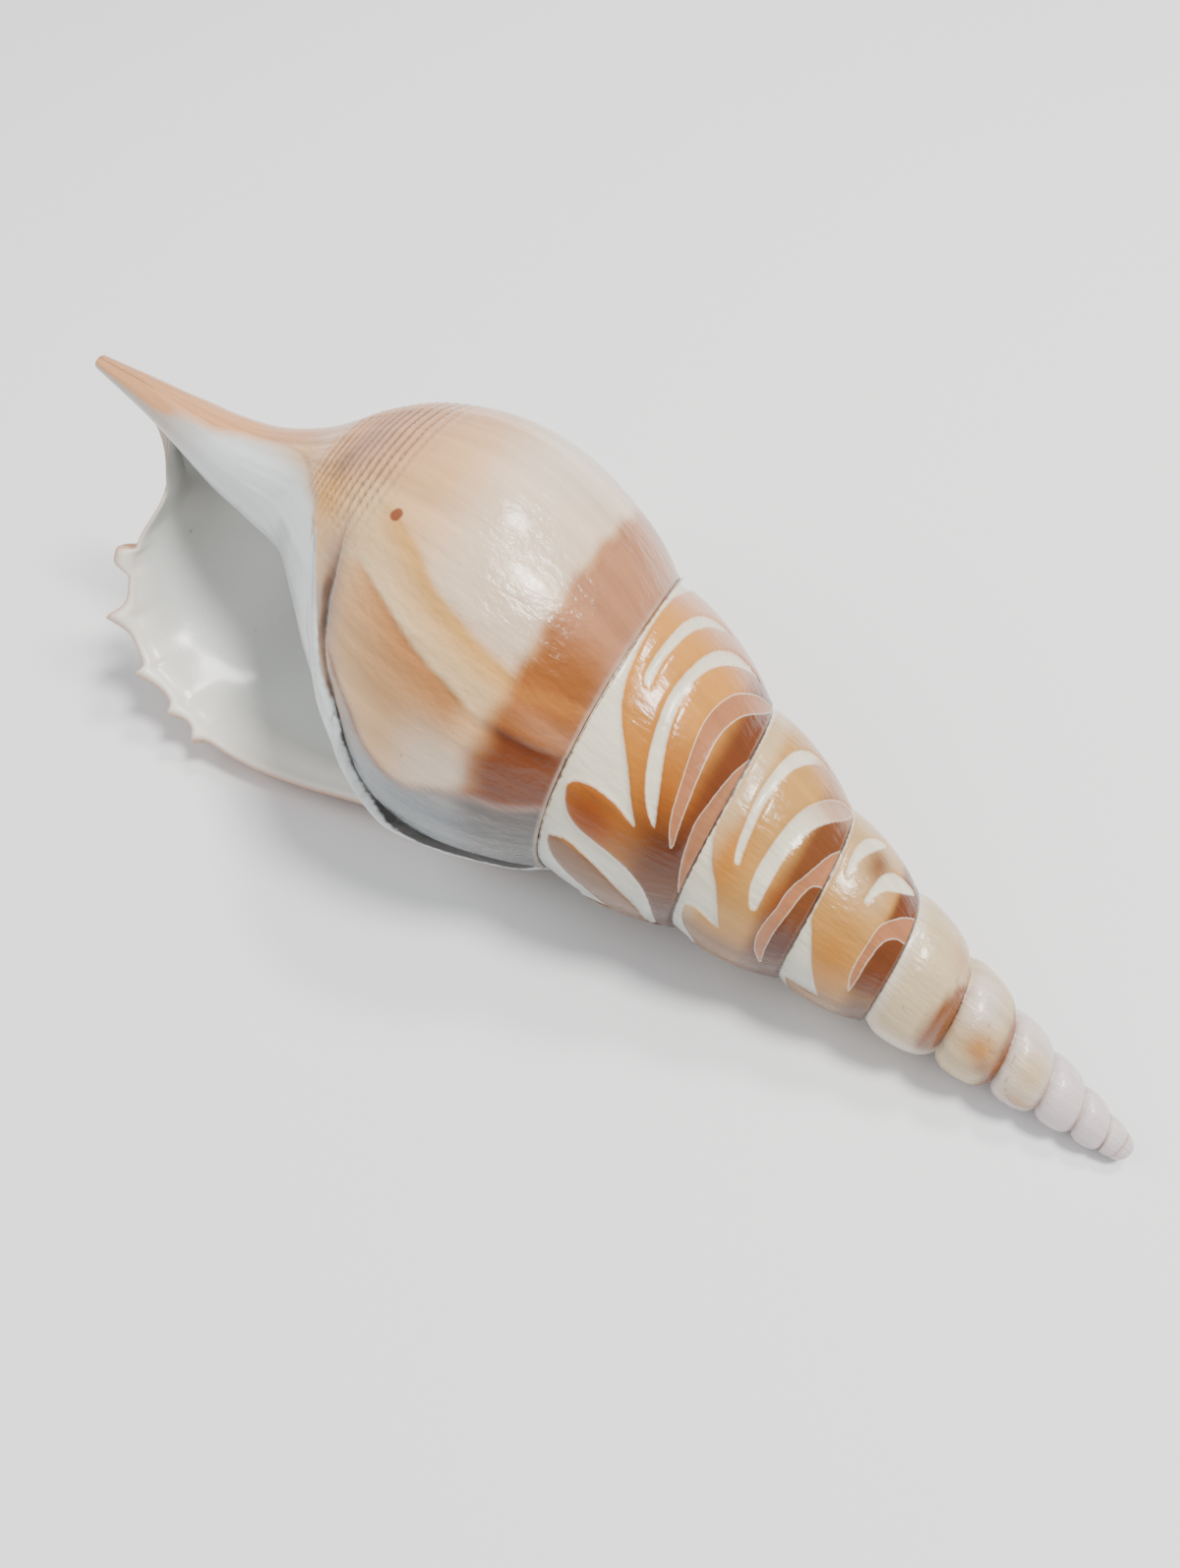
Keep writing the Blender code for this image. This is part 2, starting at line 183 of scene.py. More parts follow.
@dataclass
class ShellForm:
    """The form of the shell: outlines in millimetres and the way they wind round the axis."""

    growth: float = 0.03432
    spire_reach: float = 85.2
    first_suture: float = 0.79
    whorl_bulge: float = 0.075
    apex_x: float = 74.3
    spire_radius: float = 18.05
    spire_taper: float = -0.28816
    spire_curve: float = 0.00087
    climb_swell: float = 1.6
    climb_slope: float = 4.0
    turn_centre: float = 85.9
    turn_length: float = 0.887
    turn_radius: float = 0.79
    pillar_radius: float = 0.62
    lip: float = np.radians(247.0)
    left_side: float = np.radians(90.0)
    climb_start: float = np.radians(100.0)
    climb_end_x: float = 1.8
    depth: float = np.radians(205.0)
    deepest: float = np.radians(-315.0)
    wall_thickness: float = 1.15
    point_span: float = np.radians(7.0)
    varix: float = 1.7
    back_bulge: float = 1.0
    roll: float = np.radians(25.10)
    pitch: float = np.radians(14.46)
    shift: tuple = (-2.7165, -0.6966, -19.8703)
    within: tuple = (
        (6.2, 16.3, 0.0), (1.8, 19.2, 0.0), (-5.5, 22.2, 0.0), (-12.7, 23.0, 0.0), (-20.1, 20.8, 0.0),
        (-27.6, 16.4, 0.0), (-35.3, 11.4, 0.0), (-42.5, 7.8, 0.0), (-50.0, 6.0, 1.2), (-56.5, 4.9, 1.9),
        (-63.5, 3.4, 2.4), (-66.6, 2.8, 2.55), (-71.0, 2.1, 2.8), (-79.0, 0.9, 3.5))
    middle: tuple = (
        (-3.9, 19.2, 0.0), (-9.0, 21.7, 0.0), (-16.5, 23.5, 0.0), (-23.5, 24.0, 0.0), (-31.0, 22.7, 0.0),
        (-38.5, 19.2, 0.0), (-43.5, 14.8, 0.0), (-48.6, 8.9, 0.2), (-53.7, 6.0, 1.3), (-59.0, 4.7, 2.2),
        (-64.5, 3.5, 2.4), (-67.6, 2.9, 2.6), (-71.8, 2.2, 2.85), (-79.0, 1.05, 3.5))
    at_lip: tuple = (
        (1.8, 19.2, 0.0), (-4.0, 22.4, 0.0), (-12.0, 25.4, 0.0), (-19.9, 28.6, 0.0), (-27.5, 32.2, 0.0),
        (-35.5, 35.2, 0.0), (-43.5, 36.4, 0.0), (-51.5, 35.0, 0.0), (-58.0, 32.3, 0.0), (-62.9, 26.2, 0.0),
        (-64.6, 19.8, 0.0), (-64.4, 11.5, 0.0), (-69.5, 4.9, 0.0), (-79.0, 4.7, 0.0))
    lip_points: tuple = (
        (9.52, 2.5, 0.24, 0.4, 5.0), (8.48, 3.5, 0.16, 0.4, 1.4), (7.33, 1.9, 0.17, 1.8, 1.5),
        (6.58, 1.6, 0.12, 0.7, 1.6), (6.05, 1.6, 0.12, 0.1, 1.6))
    edge_places: tuple = (
        0, 0.6, 1.08, 1.56, 2.19, 2.64, 3.06, 3.33, 3.66, 3.87, 4.23, 4.5, 5.1, 5.88, 6.39, 6.7)
    edge_angles: tuple = (
        -88, -86.5, -84.5, -86, -85.5, -81, -77.5, -66, -50, -48, -44, -35, -18, 5, 36.5, 90)
    glaze_places: tuple = (5.4, 5.8, 6.2, 6.8, 7.4, 7.9, 8.5, 9.2)
    glaze_angles: tuple = (-12, 0, 6, 20, 30, 34, 34, 20)
    rim_places: tuple = (0.2, 0.6, 1.6, 2.25, 2.75, 3.4, 4.1, 5.0)
    rim_heights: tuple = (0.0, 0.35, 0.7, 1.25, 1.75, 1.2, 0.8, 0.0)
    slit_places: tuple = (0.3, 1.0, 2.0, 3.0, 3.8)
    slit_depths: tuple = (0.0, 0.5, 0.9, 0.6, 0.0)

    def __post_init__(self) -> None:
        """Turn the outlines into arrays and work out the one a turn further in."""
        self.start = self.lip - TURN
        outlines = [np.array(table, float) for table in (self.within, self.middle, self.at_lip)]
        first = outlines[0]
        along = self.turn_centre - (self.turn_centre - first[:, 0]) * self.turn_length
        shrunk = np.stack([along, first[:, 1] * self.turn_radius, first[:, 2]], 1)
        pillar = np.stack([first[:, 0], first[:, 1] * self.pillar_radius, first[:, 2]], 1)
        mix = smooth((np.arange(len(first)) - 5.0) / 4.0)[:, None]
        self.outlines = outlines + [shrunk * (1 - mix) + pillar * mix]

    def suture_x(self, angle: Array) -> Array:
        """Position of the suture along the axis: an exponential spiral that climbs again behind the lip.

        Args:
            angle: Angles in radians.

        Returns:
            Positions in millimetres.
        """
        reach, rate = self.spire_reach, self.growth
        regular = self.first_suture + reach * (1 - np.exp(rate * angle))
        span = self.lip - self.climb_start
        part = np.clip((angle - self.climb_start) / span, 0, 1)
        start = self.first_suture + reach * (1 - np.exp(rate * self.climb_start))
        slope = -reach * rate * np.exp(rate * self.climb_start) * span
        climb = (2 * part ** 3 - 3 * part ** 2 + 1) * start + (part ** 3 - 2 * part ** 2 + part) * slope
        climb += (3 * part ** 2 - 2 * part ** 3) * self.climb_end_x
        climb += (part ** 3 - part ** 2) * self.climb_slope * span
        return np.where(angle < self.climb_start, regular, climb)

    def suture(self, angle: Array) -> Array:
        """Points of the suture.

        Args:
            angle: Angles in radians.

        Returns:
            Points as position along the axis, radius and offset.
        """
        x = self.suture_x(angle)
        climbed = smooth((angle - self.climb_start) / (self.lip - self.climb_start))
        radius = self.spire_radius + self.spire_taper * x + self.spire_curve * x * x
        radius += self.climb_swell * climbed
        return np.stack([x, radius, 0 * angle], -1)

    def blend(self, angle: Array, rows: list[Array]) -> Array:
        """Blend of the outlines at an angle, even up to the left side and then flaring out to the lip.

        Args:
            angle: Angles in radians.
            rows: Points on the outlines at the start, on the left, at the lip and one turn further in.

        Returns:
            The blended points.
        """
        within, middle, at_lip, deeper = rows
        turn = self.left_side - self.start
        span = self.lip - self.left_side
        angle = angle[..., None]
        back = np.clip((angle - self.deepest) / (self.start - self.deepest), 0, 1)
        early = deeper + (within - deeper) * back
        even = within + (middle - within) * (angle - self.start) / turn
        part = np.clip((angle - self.left_side) / span, 0, 1)
        carried = (part ** 3 - 2 * part ** 2 + part) * (middle - within) * span / turn
        late = middle + (at_lip - middle) * part ** 3 + carried
        return np.where(angle < self.start, early, np.where(angle < self.left_side, even, late))

    def body(self, angle: Array, place: Array) -> Array:
        """Points of the last whorl.

        Args:
            angle: Angles in radians.
            place: Places down the outline, from 0 at the suture to 13.

        Returns:
            Points as position along the axis, radius and offset.
        """
        points = self.blend(angle, [spline(table, place) for table in self.outlines])
        top = self.blend(angle, [table[0] for table in self.outlines])
        fade = (1 - smooth(place / 1.6)) * (angle >= self.start)
        return points + (self.suture(angle) - top) * fade[..., None]

    def outward(self, angle: Array, place: Array) -> Array:
        """Unit vectors that stand out from the last whorl's outline.

        Args:
            angle: Angles in radians.
            place: Places from 0 to 13.

        Returns:
            The vectors, as position along the axis, radius and offset.
        """
        along = self.body(angle, place + 0.05) - self.body(angle, place - 0.05)
        normal = np.stack([along[..., 1], -along[..., 0], 0 * along[..., 0]], -1)
        return normal / np.linalg.norm(normal, axis=-1, keepdims=True)

    def with_points(self, angle: Array, place: Array, share: float) -> Array:
        """Points of the wall, whose last few degrees are drawn out into the points of the lip.

        Args:
            angle: Angles in radians.
            place: Places down the outline.
            share: Share of the full reach of the points.

        Returns:
            Points as position along the axis, radius and offset.
        """
        out = 0 * place
        lean = 0 * place
        for centre, reach, width, slope, square in self.lip_points:
            bump = np.exp(-np.abs((place - centre) / width) ** square)
            out = out + share * reach * bump
            lean = lean + slope * bump * (0.35 + 0.65 * share)
        grow = smooth((angle - self.lip + self.point_span) / self.point_span)[..., None]
        normal = self.outward(angle, place)
        along = np.stack([-normal[..., 1], normal[..., 0], 0 * normal[..., 0]], -1)
        return self.body(angle, place) + grow * (normal * out[..., None] + along * lean[..., None])

    def spire(self, angle: Array, part: Array) -> tuple[Array, Array]:
        """Points of a spire whorl, bulging a little between its two sutures, and their outward vectors.

        Args:
            angle: Angles in radians.
            part: 0 at the upper suture and 1 at the lower one.

        Returns:
            The points and the unit vectors.
        """
        upper = self.suture(angle)
        across = self.suture(angle + TURN) - upper
        height = np.linalg.norm(across, axis=-1, keepdims=True)
        normal = np.stack([across[..., 1], -across[..., 0], 0 * part], -1) / np.maximum(height, 1e-9)
        bulge = self.whorl_bulge * height * self.bulging(part)[..., None]
        return upper + across * part[..., None] + normal * bulge, normal

    @staticmethod
    def bulging(part: Array) -> Array:
        """Share of a whorl's bulge at each place between its two sutures."""
        return 1 - np.abs(2 * part - 1) ** 2.2

    @staticmethod
    def reach_in(place: Array) -> Array:
        """How far the hollow goes in at a place, as a share of its depth."""
        return 1 - 0.9 * smooth((place - 6) / 5)

    def callus_edge(self, place: Array) -> Array:
        """Angle in degrees of the outer edge of the callus at each place."""
        return np.interp(place, self.edge_places, self.edge_angles)

    def glaze_edge(self, place: Array) -> Array:
        """Angle in degrees up to which the white layer of the callus shows at each place."""
        neck = np.interp(place, self.glaze_places, self.glaze_angles)
        return np.where(place < self.glaze_places[0], self.callus_edge(place), neck)

    def relief(self, angle: Array, place: Array) -> Array:
        """Height over the last whorl: the rim of the callus, the slit, the thick lip and the full back.

        Args:
            angle: Angles in radians.
            place: Places down the outline.

        Returns:
            Heights in millimetres.
        """
        inside = self.callus_edge(place) - np.degrees(angle)
        rise = smooth(inside / 3.5) * (1 - smooth((inside - 10) / 11))
        dip = bell(inside + 0.3, 1.3)
        rim = np.interp(place, self.rim_places, self.rim_heights) * rise
        rim = rim - np.interp(place, self.slit_places, self.slit_depths) * dip
        behind = np.degrees(self.lip - angle)
        thick = smooth(behind / 6) * (1 - smooth((behind - 12) / 14))
        thick = thick * smooth((place - 1.5) / 2) * (1 - smooth((place - 5.5) / 2))
        full = bell(np.degrees(angle) - 176, 22)
        full = full * smooth((place - 0.3) / 1.5) * (1 - smooth((place - 4) / 3))
        return rim + self.varix * thick + self.back_bulge * full

    def wall(self, angle: Array, place: Array) -> Array:
        """Thickness of the shell, fuller towards the lip and thinner along the canal."""
        canal = 1 - 0.62 * smooth((place - 8.2) / 2.4)
        return self.wall_thickness * canal * (0.8 + 0.35 * smooth((angle - self.lip + 0.5) / 0.5))

    def in_space(self, points: Array, angle: Array) -> Array:
        """Points in space, in the shell's own frame.

        Args:
            points: Points as position along the axis, radius and offset.
            angle: Angles in radians.

        Returns:
            Points in millimetres.
        """
        y = points[..., 1] * np.sin(angle) - points[..., 2]
        z = points[..., 1] * np.cos(angle)
        return np.stack([points[..., 0], y, z], -1)

    def at_rest(self, points: Array) -> Array:
        """Turn points of the shell's frame into the pose at rest, in metres.

        Args:
            points: Points in millimetres.

        Returns:
            Points in metres, in the frame of the CAD.
        """
        c, s = np.cos(self.roll), np.sin(self.roll)
        roll = np.array([(1, 0, 0), (0, c, -s), (0, s, c)])
        c, s = np.cos(self.pitch), np.sin(self.pitch)
        pitch = np.array([(c, 0, s), (0, 1, 0), (-s, 0, c)])
        return (points @ roll.T @ pitch.T - np.array(self.shift)) * MM


@dataclass(frozen=True)
class Carving:
    """The carved blades of one whorl. A point is an angle, a place and, in a strip, half its width in mm."""

    white_strips: tuple = ()
    white_fields: tuple = ()
    thin_strips: tuple = ()
    thin_fields: tuple = ()

    def field(self, angle: Array, place: Array, per_degree: Array, height: Array, thin: bool) -> Array:
        """Depth inside the cut shapes.

        Args:
            angle: Angles in degrees within the motif.
            place: Places from 0 to 1.
            per_degree: Millimetres for each degree.
            height: Millimetres from one suture to the next.
            thin: True for the half-cut shapes, False for the white ones.

        Returns:
            Distance to the nearest outline in millimetres, positive inside a shape.
        """
        u = angle * per_degree
        v = place * height
        scale = np.array([float(np.mean(per_degree)), float(np.mean(height))])
        best = np.full(angle.shape, -9.0)
        for strip in self.thin_strips if thin else self.white_strips:
            table = rounded(list(strip), 6)
            gap, _, share = along_line(u, v, table[:, :2] * scale)
            width = np.interp(share, np.linspace(0, 1, len(table)), table[:, 2])
            best = np.maximum(best, width - gap)
        for sides in self.thin_fields if thin else self.white_fields:
            outline = np.vstack([rounded(list(side), 4) for side in sides])
            best = np.maximum(best, inside_of(u, v, outline * scale))
        return best


CARVINGS = (
    Carving(
        white_strips=(
            ((71, 0.56, 0.15), (67, 0.63, 0.45), (60, 0.72, 0.6), (50, 0.785, 0.55), (40, 0.815, 0.45),
             (30, 0.83, 0.38), (23, 0.825, 0.42), (20, 0.815, 0.4)),
            ((69, 0.22, 0.1), (65, 0.32, 0.4), (59, 0.42, 0.7), (51, 0.51, 0.72), (42, 0.575, 0.6),
             (33, 0.612, 0.5), (25, 0.622, 0.6), (18, 0.615, 0.62), (10, 0.585, 0.66), (3, 0.545, 0.72),
             (-3, 0.5, 0.75), (-9, 0.45, 0.66), (-14, 0.4, 0.45), (-19, 0.34, 0.05)),),
        white_fields=(
            (((95, 0.9), (71, 0.93), (58, 0.965), (45, 0.98), (32, 0.975), (23, 0.958), (16, 0.935),
              (9, 0.89), (4, 0.835), (-1, 0.76), (-6, 0.68), (-11, 0.61), (-16.5, 0.54), (-23, 0.45)),
             ((-23, 0.45), (-21.5, 0.52), (-19.7, 0.62), (-19.2, 0.73), (-20, 0.84), (-22, 0.91),
              (-25, 0.945)),
             ((-25, 0.945), (-30, 0.92), (-34.5, 0.86), (-37, 0.76), (-38, 0.64), (-39.5, 0.5), (-43, 0.35),
              (-51, 0.22), (-66, 0.14), (-92, 0.1)),
             ((-92, 0.13), (-80, 0.17), (-66, 0.23), (-58, 0.33), (-52, 0.46), (-48, 0.58), (-45.5, 0.7),
              (-44.5, 0.82), (-48.5, 0.945)),
             ((-48.5, 0.945), (-54, 0.93), (-60, 0.86), (-65, 0.72), (-70, 0.58), (-80, 0.45), (-95, 0.38)),
             ((-95, 1.1), (95, 1.1))),),
        thin_strips=(
            ((72, 0.0, 0.2), (64, 0.06, 0.5), (56, 0.125, 0.85), (48, 0.2, 1.0), (40, 0.27, 1.05),
             (31, 0.315, 1.05), (23, 0.333, 1.0), (15, 0.322, 0.9), (7, 0.3, 0.78), (-1, 0.275, 0.66),
             (-9, 0.25, 0.58), (-16, 0.22, 0.4), (-23, 0.18, 0.05)),),
        thin_fields=(
            (((30, 0.0), (19, 0.055), (8, 0.085), (-2, 0.107), (-9, 0.115), (-17, 0.1), (-26, 0.075),
              (-34, 0.045), (-44, 0.0)),
             ((-44, -0.1), (30, -0.1))),)),
    Carving(
        white_strips=(
            ((68, 0.42, 0.2), (64, 0.52, 0.5), (58, 0.605, 0.7), (50, 0.68, 0.7), (41, 0.735, 0.58),
             (32, 0.768, 0.5), (23, 0.785, 0.45), (13, 0.785, 0.42), (4, 0.77, 0.38), (-4, 0.75, 0.34),
             (-10.5, 0.72, 0.25)),
            ((68, 0.02, 0.1), (62, 0.07, 0.5), (54, 0.14, 0.85), (45, 0.23, 1.0), (36, 0.32, 1.0),
             (26, 0.4, 0.98), (16, 0.45, 0.92), (7, 0.475, 0.88), (-2, 0.485, 0.9), (-10, 0.485, 0.88),
             (-17, 0.47, 0.75), (-24, 0.44, 0.4)),),
        white_fields=(
            (((90, 0.97), (50, 0.985), (15, 0.99), (-5, 0.985), (-13, 0.94), (-20, 0.88), (-26, 0.79),
              (-34, 0.71), (-47, 0.61)),
             ((-47, 0.61), (-45.5, 0.7), (-44.2, 0.8), (-44.5, 0.88), (-47, 0.935)),
             ((-47, 0.935), (-56, 0.93), (-64, 0.88), (-74, 0.78), (-95, 0.7)),
             ((-95, 1.1), (90, 1.1))),),
        thin_fields=(
            (((32, 0.0), (24, 0.075), (14, 0.135), (5, 0.185), (-3, 0.235), (-11, 0.26), (-19, 0.265),
              (-28, 0.29), (-37, 0.295), (-47, 0.265), (-59, 0.175)),
             ((-59, 0.175), (-46, 0.195), (-34, 0.2), (-23, 0.183), (-12, 0.163), (-3, 0.14), (3, 0.1),
              (6, 0.04), (6, 0.0)),
             ((6, -0.1), (32, -0.1))),)),
    Carving(
        white_strips=(
            ((66, 0.6, 0.2), (59, 0.69, 0.5), (51, 0.77, 0.6), (42, 0.83, 0.5), (32, 0.862, 0.34),
             (22, 0.862, 0.1)),
            ((56, 0.14, 0.3), (50, 0.26, 0.7), (43, 0.4, 0.85), (35, 0.5, 0.6), (26, 0.555, 0.34),
             (17, 0.595, 0.1)),),
        white_fields=(
            (((90, 0.98), (10, 0.985), (-10, 0.98), (-17, 0.93), (-25, 0.86), (-37, 0.76), (-48, 0.66),
              (-60, 0.55)),
             ((-60, 0.55), (-61, 0.68), (-62, 0.8), (-65, 0.93)),
             ((-65, 0.93), (-76, 0.9), (-95, 0.82)),
             ((-95, 1.1), (90, 1.1))),),
        thin_fields=(
            (((38, 0.0), (31, 0.12), (22, 0.235), (11, 0.345), (-1, 0.368), (-15, 0.378), (-27, 0.36),
              (-39, 0.3)),
             ((-39, 0.3), (-28, 0.292), (-13, 0.295), (0, 0.27), (8, 0.22), (14, 0.12), (16, 0.0)),
             ((16, -0.1), (38, -0.1))),)),
)
ENGRAVED = {
    4: (((38, 0.04), (34, 0.14), (24, 0.24), (10, 0.3)), ((18, 0.04), (14, 0.14), (2, 0.24), (-22, 0.3))),
    5: (((16, 0.6), (0, 0.46), (-12, 0.32), (-4, 0.2)), ((-44, 0.24), (-56, 0.16), (-62, 0.26))),
    6: (((4, 0.9), (-30, 0.84), (-52, 0.66), (-60, 0.4), (-50, 0.14)),),
}
DRAWN_LINES = {
    "flame": ((12, 4.5), (7, 4.0), (3, 3.5), (-2, 3.0), (-4, 2.5), (-6, 2.0), (-7, 1.42)),
    "streak": ((-16, 4.9), (-8, 4.35), (-10, 3.78), (-13, 3.24), (-16, 2.67), (-18, 2.1), (-20, 1.75)),
    "growth": ((-19, 1.95), (-20, 1.53), (-19, 1.2), (-18, 0.75), (-16, 0.0)),
    "scar": ((-8, 1.42), (-6, 1.1), (-3, 0.66), (0, 0.1)),
    "brown_scar": ((-21, 1.3), (-21, 0.95), (-19.5, 0.5), (-17.5, 0.0)),
    "glaze": ((-36, 4.1), (-40, 3.81), (-44, 3.45), (-49, 3.12), (-53, 2.67), (-53, 2.25), (-48, 1.77),
              (-45, 1.32), (-44, 0.87), (-39, 0.2)),
    "crease": ((6, 5.0), (-2, 4.83), (-17, 4.6), (-26, 4.5), (-36, 4.33), (-42, 4.12), (-47, 3.87),
               (-54, 3.66)),
    "slit": ((-50, 3.75), (-58, 3.58), (-66, 3.33), (-77.5, 3.06), (-81, 2.64), (-85.5, 2.19),
             (-86, 1.56), (-84.5, 1.08), (-88, 0.5)),
}


@dataclass(frozen=True)
class Palette:
    """The colours of the shell, as seen on a screen, from 0 to 255."""

    cream_tan: Colour = (224, 194, 162)
    pink_tan: Colour = (216, 178, 158)
    pale: Colour = (232, 224, 217)
    band_pink: Colour = (194, 155, 134)
    band_tan: Colour = (178, 130, 90)
    band_red: Colour = (146, 98, 68)
    # Partly the real grey of the band under the glaze, partly painted shade with a painted blue reflection:
    # darker and cooler than the band itself.
    band_grey_and_shade: Colour = (112, 102, 98)
    # Partly the glaze's own bluish grey, partly painted shade with a painted blue reflection: darker and
    # cooler than the glaze itself.
    glaze: Colour = (150, 158, 168)
    golden: Colour = (214, 180, 134)
    butter: Colour = (225, 203, 176)
    orange: Colour = (192, 144, 98)
    strip_gold: Colour = (224, 186, 132)
    callus: Colour = (222, 226, 228)
    lilac: Colour = (178, 160, 158)
    crease: Colour = (100, 76, 66)
    tan: Colour = (214, 170, 114)
    gold: Colour = (200, 153, 92)
    brown_red: Colour = (136, 88, 64)
    leaf_orange: Colour = (166, 106, 48)
    dark: Colour = (112, 60, 30)
    violet: Colour = (100, 58, 38)
    grey_leaf: Colour = (152, 118, 86)
    light_tan: Colour = (204, 170, 124)
    cream: Colour = (216, 201, 178)
    patch: Colour = (164, 122, 96)
    pinkish: Colour = (224, 216, 218)
    peach: Colour = (224, 184, 154)
    under: Colour = (204, 198, 196)
    inside: Colour = (227, 229, 228)
    # Painted shade: the grey of the hollow where less light reaches in.
    inside_painted_shade: Colour = (190, 193, 195)
    edge: Colour = (240, 234, 228)
    lip_out: Colour = (206, 168, 146)
    knob: Colour = (180, 156, 138)
    white: Colour = (230, 225, 212)
    # Painted shade: a cooler, darker white for the cuts on the shaded side, with a painted bluish
    # reflection.
    white_painted_shade: Colour = (204, 211, 214)
    pink: Colour = (192, 148, 124)
    grey_strip: Colour = (186, 146, 124)


